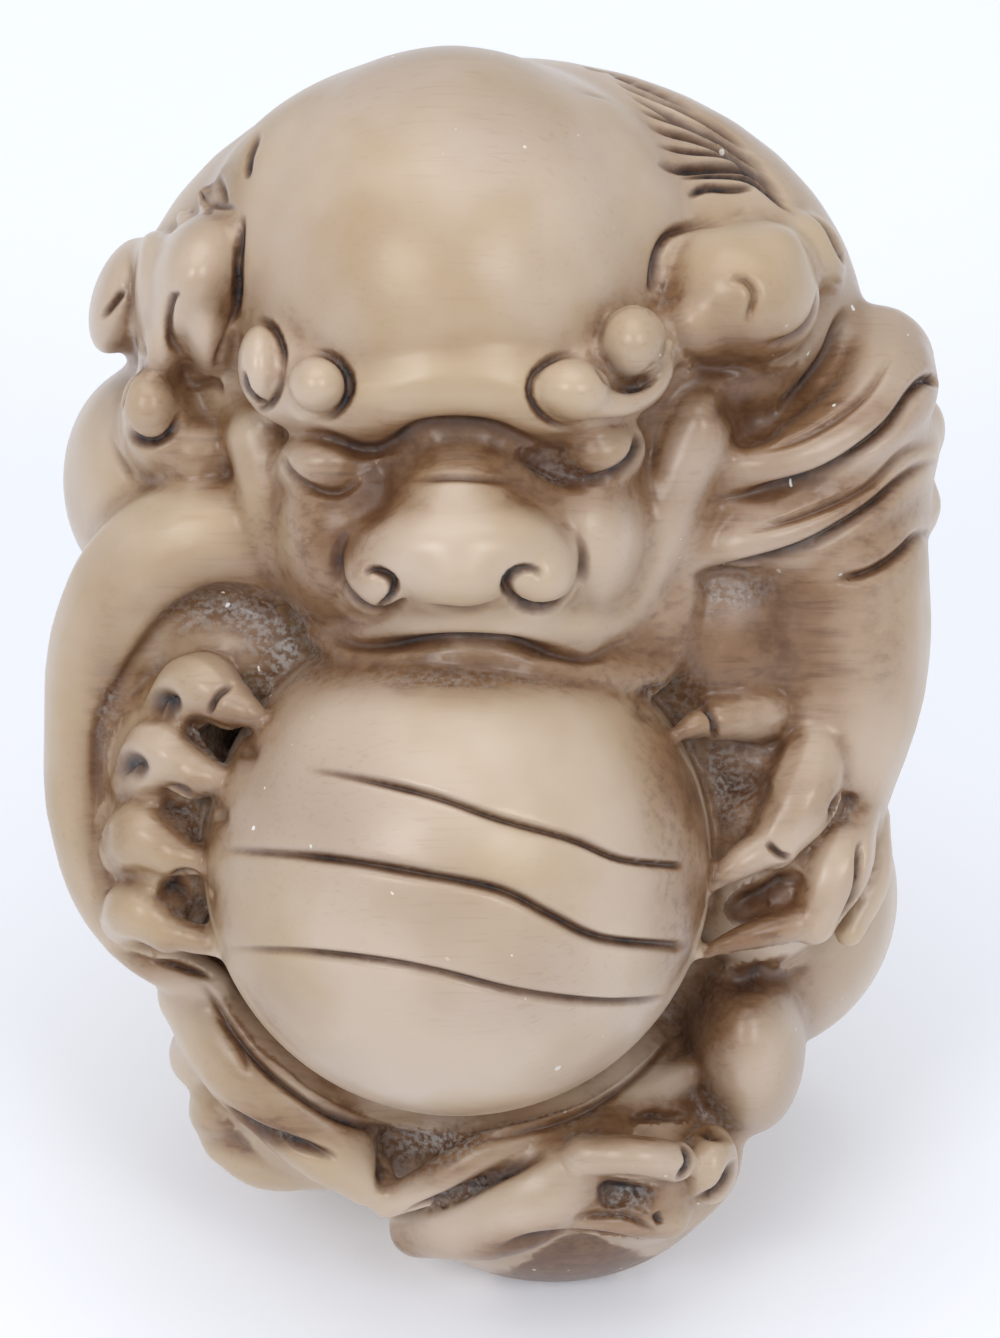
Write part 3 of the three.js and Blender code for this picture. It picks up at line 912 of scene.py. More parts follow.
@dataclass
class Ball:
    """The grooved ball under the chin.

    Attributes:
        at: Its middle.
        radius: Its radius.
        grooves: The path, half width, depth and stain of each groove.
    """

    at: Stop = (-3.1, -14.9, 15.5)
    radius: float = 20.1
    grooves: tuple[tuple[tuple[Stop, ...], float, float, float], ...] = (
        (
            ((-15, -7.4), (-11, -8), (-5, -9.4), (0.2, -11.2), (5.8, -12.8), (9.7, -14.4), (14.2, -15)),
            0.36, 0.7, 0.66,
        ),
        (
            (
                (-22, -13.7), (-13.2, -14.3), (-6.1, -15.4), (0.2, -16.7), (4.2, -18.7), (8.2, -20.6),
                (14.2, -21.4),
            ),
            0.46, 0.9, 0.8,
        ),
        (
            (
                (-22, -21.5), (-15.6, -21.6), (-9.3, -22.2), (-4.5, -23.1), (1.8, -24.7), (8.2, -25.6),
                (13.2, -25.6),
            ),
            0.34, 0.6, 0.62,
        ),
    )

    def model(self, clay: Clay) -> None:
        """Puts the ball on."""
        clay.lump(Stage.FINE, self.at, (self.radius,) * 3, rings=96)

    def carve(self, chisel: Chisel) -> None:
        """Cuts the three grooves, each with a soft brown edge."""
        chisel.wash(
            (13.5, -6, 3.6, 7, 0.7), (15, -20, 3, 8, 0.7), (-19, -6, 4, 7, 0.35), (4, -18, 8, 5, 0.12),
        )
        for path, width, depth, stain in self.grooves:
            chisel.cut(path, width, depth, stain=stain, open_end=True)
            chisel.cut(path, width * 2.2, 0.0, stain=0.28)


@dataclass
class Toe:
    """A toe, from the paw over its knuckle to the nail, and its claw.

    Attributes:
        root: Where it leaves the paw.
        knuckle: The top of its bend.
        nail: Where the claw starts.
        tip: The claw's tip.
        size: Its radius at the root.
    """

    root: Stop
    knuckle: Stop
    nail: Stop
    tip: Stop
    size: float

    def model(self, clay: Clay) -> None:
        """Puts the toe and its claw on."""
        s = self.size
        clay.bar(Stage.FINE, (*self.root, s), (*self.knuckle, s * 1.15), (*self.nail, s * 0.8))
        bend = [(n + t) / 2 for n, t in zip(self.nail, self.tip)]
        clay.bar(
            Stage.FINE, (*self.nail, s * 0.62), (bend[0], bend[1] + 0.3, bend[2] + 0.5, s * 0.5),
            (*self.tip, s * 0.16),
        )


@dataclass
class LeftForeleg:
    """The left foreleg's thick fold, and the paw on the ball."""

    toes: tuple[Toe, ...] = (
        Toe((-26, -3.6, 9), (-23, -1.2, 13.6), (-21, -2.4, 15.8), (-17.8, -4.4, 17.6), 2.6),
        Toe((-28, -8.4, 10.5), (-26, -6.4, 14.3), (-23.8, -7.8, 16.2), (-20, -9.6, 17.8), 2.7),
        Toe((-29.2, -14, 11.7), (-27.8, -12.8, 14.8), (-25.4, -14.2, 16.8), (-21.6, -16, 18.4), 2.5),
        Toe((-29.4, -19.4, 12.6), (-28.2, -18.8, 15.4), (-26, -20.4, 17), (-20.2, -22.6, 19.2), 2.3),
    )

    def model(self, clay: Clay) -> None:
        """Puts the masses on."""
        clay.lump(Stage.BROAD, (-23, -6, -6), (11.5, 18, 12))
        clay.bar(
            Stage.MIDDLE, (-17.5, 9.6, 6, 4.6), (-21.5, 11, 5.8, 4.8), (-26, 9.6, 5, 5.2),
            (-30.2, 4.4, 4, 4.9), (-32.2, -4, 4, 4.1), (-32.2, -12, 6, 3.7), (-30, -19, 9, 3.1),
            (-26, -23, 12, 2.5), (-22.6, -24.8, 13, 1.7),
        )
        clay.lump(Stage.MIDDLE, (-26, -9.6, 7.4), (5, 12, 8))
        clay.lump(Stage.MIDDLE, (-19, 2, 4), (9.5, 6, 7))
        for toe in self.toes:
            toe.model(clay)

    def carve(self, chisel: Chisel) -> None:
        """Cuts the inner edge of the fold and the pits between the toes."""
        chisel.wash(
            (-20, 5, 8, 2.6, 0.9), (-30.6, -6, 1.8, 11, 0.75), (-22, -4.6, 3.4, 2, 1.0),
            (-23.4, -11.6, 2.8, 3, 1.2), (-23, -18.6, 2.6, 2.6, 1.0), (-27, -23, 4, 1.8, 0.8),
            (-14, 2, 4, 3, 0.5), (-33, -3, 2.4, 10, 0.3), (-27, 9, 6, 3, 0.3), (-27, -12, 3, 10, 0.3),
        )
        chisel.cut(
            (
                (-15.5, 4.2), (-17, 5.5), (-20, 6.4), (-23, 6.2), (-26, 4.4), (-28.2, 1.8), (-30, -1),
                (-31.5, -4), (-31.8, -8), (-31.3, -12), (-30.8, -16),
            ),
            0.7, 0.4, stain=0.5,
        )
        chisel.dust(
            (-22, 5, 5, 1.6, 0.8), (-17, 2.4, 3, 3, 0.9), (-30.8, -4, 1, 7, 0.7),
            (-23.6, -10, 2, 2, 0.5),
        )
        chisel.cut(((-30, -21.4), (-27, -22.6), (-24, -23.6), (-21.6, -24)), 0.5, 0.8, stain=0.8)
        chisel.cut(((-20.6, -0.7), (-22, -1.8), (-22.7, -3.4)), 0.35, 0.5, stain=0.8)
        for pit in ((-26.4, -2.6), (-28.9, -7.6), (-25.2, -10.3), (-24.6, -17)):
            chisel.cut(
                arc(pit, (0.5, 0.5), 0, 180),
                1.0, 1.1, stain=0.9, open_start=True, open_end=True,
            )
        for slot in (
            ((-24.6, -4), (-18.6, -6.4)),
            ((-26.6, -10.4), (-21, -11.2)),
            ((-27, -17), (-22, -17.6)),
        ):
            chisel.cut(slot, 0.9, 1.2, stain=0.9)


@dataclass
class RightForeleg:
    """The right foreleg, which comes down from under the locks, and its paw."""

    toes: tuple[Toe, ...] = (
        Toe((23.5, -2.6, 6), (20.4, -3, 9.8), (17.4, -3.6, 12.4), (13.4, -5.2, 16), 2.2),
        Toe((25.4, -5.4, 9.5), (23.9, -10, 13.4), (21.8, -13.4, 15.6), (16, -17.4, 19), 2.7),
        Toe((28, -11.4, 9.4), (26.8, -15.6, 13.4), (25, -19.6, 15.4), (15.4, -22.4, 19), 2.5),
    )

    def model(self, clay: Clay) -> None:
        """Puts the masses on."""
        clay.bar(Stage.BROAD, (25.6, 9, 0, 9), (26.6, 1, 2, 8.2), (26, -6, 5, 7), (25.5, -12, 7, 5.4))
        clay.lump(Stage.BROAD, (18.5, -6, 1.5), (9, 9, 9))
        clay.lump(Stage.BROAD, (17, 4, 1.6), (9, 10, 8.9))
        clay.lump(Stage.MIDDLE, (21, -12, 5.5), (7.5, 11.5, 9))
        clay.bar(Stage.FINE, (30.2, -11.5, 6, 1.3), (29.9, -16.5, 10, 1.5), (28, -20.6, 13, 1.2))
        for toe in self.toes:
            toe.model(clay)

    def carve(self, chisel: Chisel) -> None:
        """Cuts the hollows between the toes."""
        chisel.wash(
            (20.5, 2.6, 7.5, 5.6, 1.25), (17.6, -9.6, 4, 4.4, 1.2), (20.8, -18.4, 4.4, 2.6, 1.3),
            (17.2, -28, 2.4, 4.6, 0.6), (27.6, -11, 2, 2, 0.8), (24, 6.4, 6, 1.8, 0.5),
            (31, 2.6, 3.4, 9, 0.32), (24, -8, 3.6, 5, 0.5), (28.6, -16, 2, 4, 0.4),
        )
        chisel.dust(
            (17.4, 4.6, 4, 3, 0.9), (22, 6.6, 5, 1.4, 0.5), (17.6, -8.6, 3, 4, 0.8),
            (27.6, -11, 1, 1, 0.7),
        )
        chisel.cut(((15.6, -2.2), (16.8, -3), (17.2, -4.2), (17, -5.6)), 0.35, 0.5, stain=0.8)
        chisel.cut(
            arc((12.4, -2.6), (0.5, 0.5), 0, 180),
            1.2, 1.0, stain=0.9, open_start=True, open_end=True,
        )
        chisel.cut(((14.8, -9), (19, -8.8), (21.4, -8)), 1.4, 1.2, stain=0.6)
        chisel.cut(((18, -18.6), (21, -17.6), (24, -15.6)), 1.1, 1.4, stain=0.7)
        chisel.cut(((21.2, -13.2), (22.4, -14.4), (23.4, -14.6)), 0.4, 0.6, stain=0.8)
        chisel.cut(arc((27.8, -11.3), (0.8, 1.2), 30, 210), 0.7, 1.0, stain=0.9)
        chisel.cut(((17.4, -24.4), (21, -23.8), (24.8, -22.6)), 1.5, 1.3, stain=0.7)
        chisel.cut(((28.8, -13), (28.6, -17), (27.2, -20.4)), 0.4, 0.8, stain=0.6)


@dataclass
class HindLegs:
    """The left shin and paw, and the right knee, foot and toes."""

    def model(self, clay: Clay) -> None:
        """Puts the masses on."""
        clay.bar(
            Stage.MIDDLE, (-24, -25.6, 10, 3.4), (-20.8, -30, 13.6, 4), (-16.4, -34.4, 16, 4),
            (-12.6, -38.2, 17.4, 3.4), (-10.2, -40.6, 17.6, 2.3),
        )
        clay.lump(Stage.BROAD, (-15, -34, 8), (9, 7, 9), roll=-40)
        clay.lump(Stage.MIDDLE, (-23.6, -30.6, 9), (2.9, 3, 4.5))
        clay.lump(Stage.MIDDLE, (-22.2, -35.2, 9), (2.8, 2.6, 5))
        clay.bar(Stage.MIDDLE, (-21.6, -37.4, 9, 2.5), (-18.6, -38.9, 11, 2.9), (-13.6, -39.4, 12, 2.3))
        clay.lump(Stage.MIDDLE, (20, -29, 7), (4.9, 8.2, 10), roll=4)
        clay.bar(
            Stage.FINE, (15.4, -32, 12, 1.6), (9, -34.8, 16.4, 1.7), (3, -36.6, 18.6, 1.7),
            (-1.5, -38.6, 19.6, 1.8), (-5.4, -40.8, 19.4, 1.7), (-8.8, -42.4, 18.4, 1.3),
        )
        clay.lump(Stage.MIDDLE, (11, -40, 13), (7, 6, 8))
        clay.bar(
            Stage.MIDDLE, (-6.2, -44.6, 14, 2.7), (-1.5, -43.4, 18, 3.9), (3.4, -41.2, 20, 4.1),
            (8.6, -38, 19.2, 3.2),
        )
        clay.bar(Stage.FINE, (7, -38.2, 22, 1.8), (11.2, -38.4, 23, 1.8), (14.2, -38.8, 21.8, 1.7))
        clay.lump(Stage.FINE, (17, -39.2, 18), (2.3, 3.3, 4))
        clay.bar(Stage.FINE, (4.5, -42.4, 20.5, 1.9), (9.5, -43.6, 21, 1.5), (13.6, -43.4, 19, 1.9))
        clay.bar(Stage.MIDDLE, (18, -35.5, 10, 2), (17.9, -40.2, 13, 1.7), (15.2, -43, 16, 1.8))

    def carve(self, chisel: Chisel) -> None:
        """Cuts the edge under the ball, and the folds of both feet."""
        # Brown patches in the folds of the feet; the long one along the bottom edge, near the floor, is
        # painted shade.
        chisel.wash(
            (-19.4, -28, 3.4, 5, 0.5), (-19, -36.6, 5, 1.8, 1.2), (-5, -38.4, 4.4, 2.8, 1.1),
            (10.4, -41.6, 3.6, 2, 1.4), (13, -35.8, 4.4, 1.8, 1.1), (-18, -31, 6, 6, 0.3),
            (4, -35.6, 10, 1.8, 0.7), (-12, -35, 3, 4, 0.3), (20, -30, 2.6, 4, 0.35),
            (1, -40.6, 5, 2, 0.15), (5, -46.8, 7, 2.2, 0.7),
        )
        chisel.dust(
            (-5, -37.4, 4, 2, 1.2), (-4, -41.4, 4, 1.2, 0.8), (10.4, -41.8, 3, 1.6, 0.9),
            (6, -47, 5, 2, 0.35), (-19, -36.4, 4, 1.2, 0.6),
        )
        for clear, start, end, width, depth, stain in (
            (0.6, 205, 345, 0.42, 0.5, 0.95),
            (1.5, 207, 345, 0.45, -0.45, 0.0),
            (2.5, 205, 262, 0.4, 0.6, 0.7),
            (2.3, 275, 335, 0.4, 0.4, 0.55),
        ):
            radius = Ball.radius + clear
            chisel.cut(arc(Ball.at[:2], (radius, radius), start, end), width, depth, stain=stain)
        chisel.cut(((-23, -34.4), (-19.5, -36.4), (-16, -37.6), (-12.6, -38.6)), 0.6, 1.2, stain=0.9)
        chisel.cut(((-22.4, -27), (-20.4, -29.6), (-19.6, -31.6)), 0.4, 0.5, stain=0.5)
        chisel.cut(((-9, -35.8), (-8.8, -38.6), (-9.2, -41.6)), 0.7, 0.9, stain=0.7)
        chisel.cut(((-7.4, -43.2), (-4, -42), (0, -39.9), (4, -38)), 0.6, 0.8, stain=0.7)
        chisel.cut(((14.7, -37), (15.3, -38.8), (14.2, -40.5)), 0.4, 0.6, stain=0.8)
        chisel.cut(((10.4, -35.7), (13, -35.5), (16, -36.2), (19, -37)), 0.6, 1.0, stain=0.8)
        chisel.cut(((8, -41.6), (10.5, -41.2), (12.8, -41.8)), 1.1, 1.3, stain=0.9)
        chisel.cut(((6, -43.4), (10, -43), (13, -44.8)), 0.4, 0.5, stain=0.5)
        chisel.cut(((12.6, -43), (13.2, -44)), 0.4, 0.6, stain=0.8)
        chisel.cut(((15.2, -42.4), (17.8, -41.2), (19.2, -38.6)), 0.5, 0.9, stain=0.8)


@dataclass
class Tail:
    """The plume that rises from the rump up the middle of the back."""

    def model(self, clay: Clay) -> None:
        """Puts the plume and the lock at each side of it on."""
        clay.bar(
            Stage.MIDDLE, (0, -30, -26, 5), (1.5, -20, -29.6, 7.4), (0.5, -9, -30.4, 6.4),
            (-3.5, 3, -29, 2.6),
        )
        for way in (-1, 1):
            clay.bar(
                Stage.MIDDLE, (way * 5, -30, -24.6, 4.6), (way * 10.5, -20, -25.6, 5.8),
                (way * 9, -8, -27.4, 3),
            )

    def carve(self, chisel: Chisel) -> None:
        """Cuts the strands of the plume."""
        for k in range(-2, 3):
            chisel.cut(
                ((k * 0.8, -34), (2 + k * 2.2, -20), (0.5 + k * 1.9, -8), (-3 + k * 0.6, 1)),
                0.5, 0.8, stain=0.7, face=Face.BACK,
            )


@dataclass
class Skin:
    """The finished skin: stood up, ground flat, thinned, and measured for its patina and its painted
    shade.

    Attributes:
        limit: The most triangles it may have.
        scales: Name and passes of smoothing for each scale of hollow that is measured.
        rays: How many directions the open sky is tested in.
        sky_reach: How far away a form still shades a point.
        sky_curve: The power by which a form's shade weakens as it lies nearer to that reach.
        lift: How far above the skin the sky is looked for.
        least_slope: How far above the skin's own plane a direction must point to count.
        pull: How far each pass of smoothing moves a point towards its neighbours' middle.
    """

    limit: int = 190_000
    scales: tuple[tuple[str, int], ...] = (("fine_hollow", 6), ("mid_hollow", 40), ("wide_hollow", 200))
    rays: int = 24
    sky_reach: float = 22.0
    sky_curve: float = 1.5
    lift: float = 0.25
    least_slope: float = 0.08
    pull: float = 0.6

    def measure_hollows(self, skin: bpy.types.Object) -> None:
        """Stores how far each point lies below its smoothed surroundings, at each scale."""
        mesh = skin.data
        points, normals = read_points(mesh)
        pairs = np.empty(len(mesh.edges) * 2, dtype=np.int64)
        mesh.edges.foreach_get("vertices", pairs)
        one, other = pairs.reshape(-1, 2).T
        count = len(points)
        joined = np.bincount(one, minlength=count) + np.bincount(other, minlength=count)
        share = 1.0 / np.maximum(joined, 1)
        calm = points.copy()
        done = 0
        for name, passes in self.scales:
            while done < passes:
                for axis in range(3):
                    values = calm[:, axis]
                    around = np.bincount(one, values[other], count)
                    around += np.bincount(other, values[one], count)
                    calm[:, axis] = (1 - self.pull) * values + self.pull * around * share
                done += 1
            write_values(mesh, name, ((calm - points) * normals).sum(1))

    def stand_up(self, skin: bpy.types.Object) -> None:
        """Stands the skin on its seat and grinds the seat flat."""
        pick(skin)
        skin.matrix_world = DRAWING.standing()
        bpy.ops.object.transform_apply(location=True, rotation=True, scale=True)
        bpy.ops.object.mode_set(mode="EDIT")
        bpy.ops.mesh.select_all(action="SELECT")
        bpy.ops.mesh.bisect(
            plane_co=(0, 0, 0), plane_no=(0, 0, 1), clear_inner=True, use_fill=True, threshold=1e-7
        )
        bpy.ops.object.mode_set(mode="OBJECT")

    def thin(self, skin: bpy.types.Object) -> None:
        """Brings the skin under its limit of triangles."""
        pick(skin)
        triangles = sum(len(p.vertices) - 2 for p in skin.data.polygons)
        apply_modifier(skin, "DECIMATE", {"ratio": min(1.0, self.limit / triangles)})
        bpy.ops.object.shade_smooth()
        log.info("thinned: %d triangles to %d", triangles, len(skin.data.polygons))

    def measure_sky(self, skin: bpy.types.Object) -> None:
        """Stores how much of the open sky each point sees."""
        mesh = skin.data
        points, normals = read_points(mesh)
        tree = BVHTree.FromPolygons(
            [tuple(p) for p in points], [tuple(p.vertices) for p in mesh.polygons], epsilon=0.0
        )
        lift = self.lift * DRAWING.unit
        reach = self.sky_reach * DRAWING.unit
        golden = math.pi * (3 - math.sqrt(5))
        ways = []
        for k in range(self.rays):
            height = 1 - 2 * (k + 0.5) / self.rays
            ring = math.sqrt(1 - height * height)
            ways.append(Vector((ring * math.cos(k * golden), ring * math.sin(k * golden), height)))
        sky = np.empty(len(points))
        for i, (point, normal) in enumerate(zip(points, normals)):
            up = Vector(normal)
            start = Vector(point) + up * lift
            seen = weight = 0.0
            for way in ways:
                slope = way.dot(up)
                if slope < self.least_slope:
                    continue
                weight += slope
                distance = tree.ray_cast(start, way, reach)[3]
                clear = 1.0 if distance is None else (distance / reach) ** self.sky_curve
                seen += slope * clear
            sky[i] = seen / weight if weight else 1.0
        write_values(mesh, "sky", sky)

    def finish(self, skin: bpy.types.Object) -> None:
        """Does all of it in order."""
        self.measure_hollows(skin)
        self.stand_up(skin)
        self.thin(skin)
        self.measure_sky(skin)


class Value:
    """A socket that takes part in a sum, so that shader maths reads as an expression."""

    def __init__(self, tree: "NodeBook", socket: bpy.types.NodeSocket) -> None:
        """Wraps a socket of a tree."""
        self.tree = tree
        self.socket = socket

    def __add__(self, other: "Value | float") -> "Value":
        """This plus other."""
        return self.tree.math("ADD", self, other)

    __radd__ = __add__

    def __sub__(self, other: "Value | float") -> "Value":
        """This minus other."""
        return self.tree.math("SUBTRACT", self, other)

    def __rsub__(self, other: float) -> "Value":
        """Other minus this."""
        return self.tree.math("SUBTRACT", other, self)

    def __mul__(self, other: "Value | float") -> "Value":
        """This times other."""
        return self.tree.math("MULTIPLY", self, other)

    __rmul__ = __mul__

    def ramp(self, low: float, high: float) -> "Value":
        """0 at low, 1 at high and even between."""
        return self.tree.ramp(self, low, high)

    def max(self, other: "Value | float") -> "Value":
        """The greater of this and other."""
        return self.tree.math("MAXIMUM", self, other)


class NodeBook:
    """The nodes of one material, added by type, settings and inputs."""

    def __init__(self, material: bpy.types.Material) -> None:
        """Empties the material's tree and takes it over."""
        material.use_nodes = True
        self.nodes = material.node_tree.nodes
        self.links = material.node_tree.links
        self.nodes.clear()

    def add(
        self,
        kind: str,
        settings: dict[str, object] | None = None,
        inputs: dict[str | int, object] | None = None,
    ) -> bpy.types.Node:
        """Adds a node.

        Args:
            kind: The node's type.
            settings: Properties that are set first.
            inputs: Values or links for its sockets, by name or number.

        Returns:
            The node.
        """
        node = self.nodes.new(kind)
        for name, value in (settings or {}).items():
            setattr(node, name, value)
        for name, value in (inputs or {}).items():
            if isinstance(value, Value):
                self.links.new(value.socket, node.inputs[name])
            else:
                node.inputs[name].default_value = value
        return node

    def out(self, node: bpy.types.Node, name: str | int = 0) -> Value:
        """One output of a node."""
        return Value(self, node.outputs[name])

    def math(self, operation: str, *values: "Value | float") -> Value:
        """Adds a Math node and gives its result."""
        node = self.add("ShaderNodeMath", {"operation": operation}, dict(enumerate(values)))
        return self.out(node)

    def ramp(self, value: Value, low: float, high: float) -> Value:
        """0 at low, 1 at high and even between."""
        node = self.add(
            "ShaderNodeMapRange",
            {"clamp": True},
            {"Value": value, "From Min": low, "From Max": high},
        )
        return self.out(node)

    def blend(self, share: "Value | float", one: object, other: object) -> Value:
        """Mixes two colours by a share."""
        node = self.add(
            "ShaderNodeMix",
            {"data_type": "RGBA", "clamp_factor": True},
            {0: share, 6: one, 7: other},
        )
        return self.out(node, 2)

    def surface(self, inputs: dict[str, object]) -> None:
        """Adds a Principled shader with these inputs and makes it the material's surface."""
        shader = self.add("ShaderNodeBsdfPrincipled", None, inputs)
        self.add("ShaderNodeOutputMaterial", None, {"Surface": self.out(shader)})

    def attribute(self, name: str) -> Value:
        """A value stored on the skin."""
        node = self.add("ShaderNodeAttribute", {"attribute_name": name})
        return self.out(node, "Fac")

    def noise(
        self, scale: float, detail: float, rough: float = 0.5, stretch: Stop = (1.0, 1.0, 1.0)
    ) -> Value:
        """Cloudy noise over the object.

        Args:
            scale: Clouds per metre.
            detail: How many finer layers it has.
            rough: How strong the finer layers are.
            stretch: The scale along each axis, as a share.

        Returns:
            A value around 0.5.
        """
        where = self.add("ShaderNodeTexCoord")
        mapped = self.add(
            "ShaderNodeMapping", None, {"Vector": self.out(where, "Object"), "Scale": Vector(stretch)}
        )
        node = self.add(
            "ShaderNodeTexNoise",
            None,
            {"Vector": self.out(mapped), "Scale": scale, "Detail": detail, "Roughness": rough},
        )
        return self.out(node)


def tone(red: int, green: int, blue: int) -> tuple[float, float, float, float]:
    """A display colour, from 0 to 255 a channel, as a linear one."""
    linear = []
    for channel in (red, green, blue):
        c = channel / 255
        linear.append(c / 12.92 if c <= 0.04045 else ((c + 0.055) / 1.055) ** 2.4)
    return (*linear, 1.0)


@dataclass(frozen=True)
class StainedResinWithPaintedShade:
    """Polished cream resin with brown and black stain rubbed into its recesses, and brown painted shade
    where little open sky reaches.

    Attributes:
        roughness: How dull the polished skin is, before recesses and clouds add to it.
        coat: Weight and roughness of the wax on top.
        ior: The resin's refractive index.
        relief: Strength of the fine grain, and how far it lifts the light, in metres.
        glow: How much light passes under the skin.
        glow_radius: How far each colour of it spreads, as a share of glow_reach.
        glow_reach: How far it spreads, in metres.
        streak_stretch: How noise is drawn out into streaks across the figure.
        scratch_stretch: How it is drawn out into scratches.
    """

    cream: tuple[float, ...] = tone(203, 183, 163)
    olive: tuple[float, ...] = tone(187, 162, 128)
    rose: tuple[float, ...] = tone(174, 152, 136)
    tan: tuple[float, ...] = tone(142, 104, 68)
    umber: tuple[float, ...] = tone(92, 56, 30)
    black: tuple[float, ...] = tone(28, 19, 19)
    dust: tuple[float, ...] = tone(176, 170, 164)
    nick: tuple[float, ...] = tone(240, 236, 228)
    roughness: float = 0.28
    coat: tuple[float, float] = (0.3, 0.32)
    ior: float = 1.5
    relief: tuple[float, float] = (0.12, 0.0001)
    glow: float = 0.12
    glow_radius: tuple[float, float, float] = (1.0, 0.7, 0.45)
    glow_reach: float = 0.0012
    streak_stretch: Stop = (0.07, 1.0, 1.0)
    scratch_stretch: Stop = (0.05, 1.0, 1.0)

    def make(self) -> bpy.types.Material:
        """Builds the material."""
        material = bpy.data.materials.new("stained_resin_with_painted_shade")
        book = NodeBook(material)
        stain = book.attribute("stain")
        wash = book.attribute("wash")
        dust = book.attribute("dust")
        fine = book.attribute("fine_hollow")
        mid = book.attribute("mid_hollow")
        wide = book.attribute("wide_hollow")
        shade = 1 - book.attribute("sky")

        clouds = book.noise(130.0, 3.0)
        patches = book.noise(70.0, 2.0)
        grain = book.noise(1500.0, 4.0, 0.65)
        mottle = book.noise(420.0, 4.0, 0.6)
        specks = book.noise(4200.0, 2.0, 0.6)
        streaks = book.noise(2600.0, 4.0, 0.65, self.streak_stretch)
        scratches = book.noise(5200.0, 2.0, 0.5, self.scratch_stretch)
        chips = book.noise(2300.0, 0.0)

        # The bare resin, cloudy and in patches a little rosy.
        colour = book.blend(clouds.ramp(0.42, 0.62) * 0.8, self.cream, self.olive)
        colour = book.blend(patches.ramp(0.5, 0.68) * 0.6, colour, self.rose)

        # The brown glaze that stays where a cloth does not reach, with painted shade added where the skin
        # sees little open sky and in some of the brown patches, and the marks that take it up.
        deep = wide.ramp(-0.5, 0.8) * 0.5 + mid.ramp(-0.05, 0.35) * 0.45
        # The sky share is painted shade: brown wherever the forms around a point shut out the open sky.
        hollow = deep + shade.ramp(0.15, 0.75) * 0.55
        glaze_and_shade = (hollow + wash) * (0.5 + mottle)
        colour = book.blend(glaze_and_shade.ramp(0.15, 1.1) * 0.9, colour, self.tan)
        scratch = scratches.ramp(0.56, 0.72) * patches.ramp(0.42, 0.6) * 0.16
        colour = book.blend(scratch, colour, self.tan)
        streak = streaks.ramp(0.48, 0.64) * glaze_and_shade.ramp(0.4, 1.0) * 0.45
        colour = book.blend(streak, colour, self.umber)
        # Umber where the glaze and the painted shade lie thickest.
        thick_glaze_and_shade = glaze_and_shade.ramp(0.9, 1.8) * (0.5 + grain.ramp(0.35, 0.6) * 0.5)
        colour = book.blend(thick_glaze_and_shade * 0.85, colour, self.umber)

        # The dark stain in the cuts, brown at their edges and black in their beds.
        line = stain.max(fine.ramp(0.04, 0.34) * 0.7) * (0.55 + mottle * 0.9)
        colour = book.blend(line.ramp(0.1, 0.5) * 0.8, colour, self.umber)
        bed = line.ramp(0.46, 0.8) * (0.35 + grain.ramp(0.38, 0.55) * 0.65)
        colour = book.blend(bed, colour, self.black)

        # Grey dust in the deepest recesses, and a few white nicks.
        settled = shade.ramp(0.5, 0.75) * patches.ramp(0.42, 0.58) * 0.8
        dusty = settled + dust * shade.ramp(0.1, 0.35)
        colour = book.blend(dusty * specks.ramp(0.42, 0.6) * 0.7, colour, self.dust)
        nicks = chips.ramp(0.84, 0.865) * patches.ramp(0.55, 0.6)
        colour = book.blend(nicks, colour, self.nick)

        dull = shade.ramp(0.35, 0.8) * 0.35 + line.ramp(0.2, 0.9) * 0.2
        strength, lift = self.relief
        bump = book.add(
            "ShaderNodeBump",
            None,
            {"Strength": strength, "Distance": lift, "Height": grain * 0.5 + streaks * 0.5},
        )
        book.surface(
            {
                "Base Color": colour,
                "Roughness": self.roughness + dull + clouds * 0.08,
                "Normal": book.out(bump),
                "IOR": self.ior,
                "Coat Weight": self.coat[0],
                "Coat Roughness": self.coat[1],
                "Subsurface Weight": self.glow,
                "Subsurface Radius": self.glow_radius,
                "Subsurface Scale": self.glow_reach,
            }
        )
        return material


@dataclass(frozen=True)
class Lamp:
    """A square soft light that looks at the figure.

    Attributes:
        name: What it is called.
        at: Where it hangs, in metres.
        size: The length of its side, in metres.
        power: Its power, in watts.
        colour: Its colour.
    """

    name: str
    at: Stop
    size: float
    power: float
    colour: Stop = (1.0, 1.0, 1.0)

    def hang(self, target: Vector) -> None:
        """Hangs it, turned to its target."""
        deselect()
        bpy.ops.object.light_add(type="AREA", location=self.at)
        lamp = bpy.context.object
        lamp.name = self.name
        lamp.data.shape = "SQUARE"
        lamp.data.size = self.size
        lamp.data.energy = self.power
        lamp.data.color = self.colour
        aim = target - Vector(self.at)
        lamp.rotation_euler = aim.to_track_quat("-Z", "Y").to_euler()


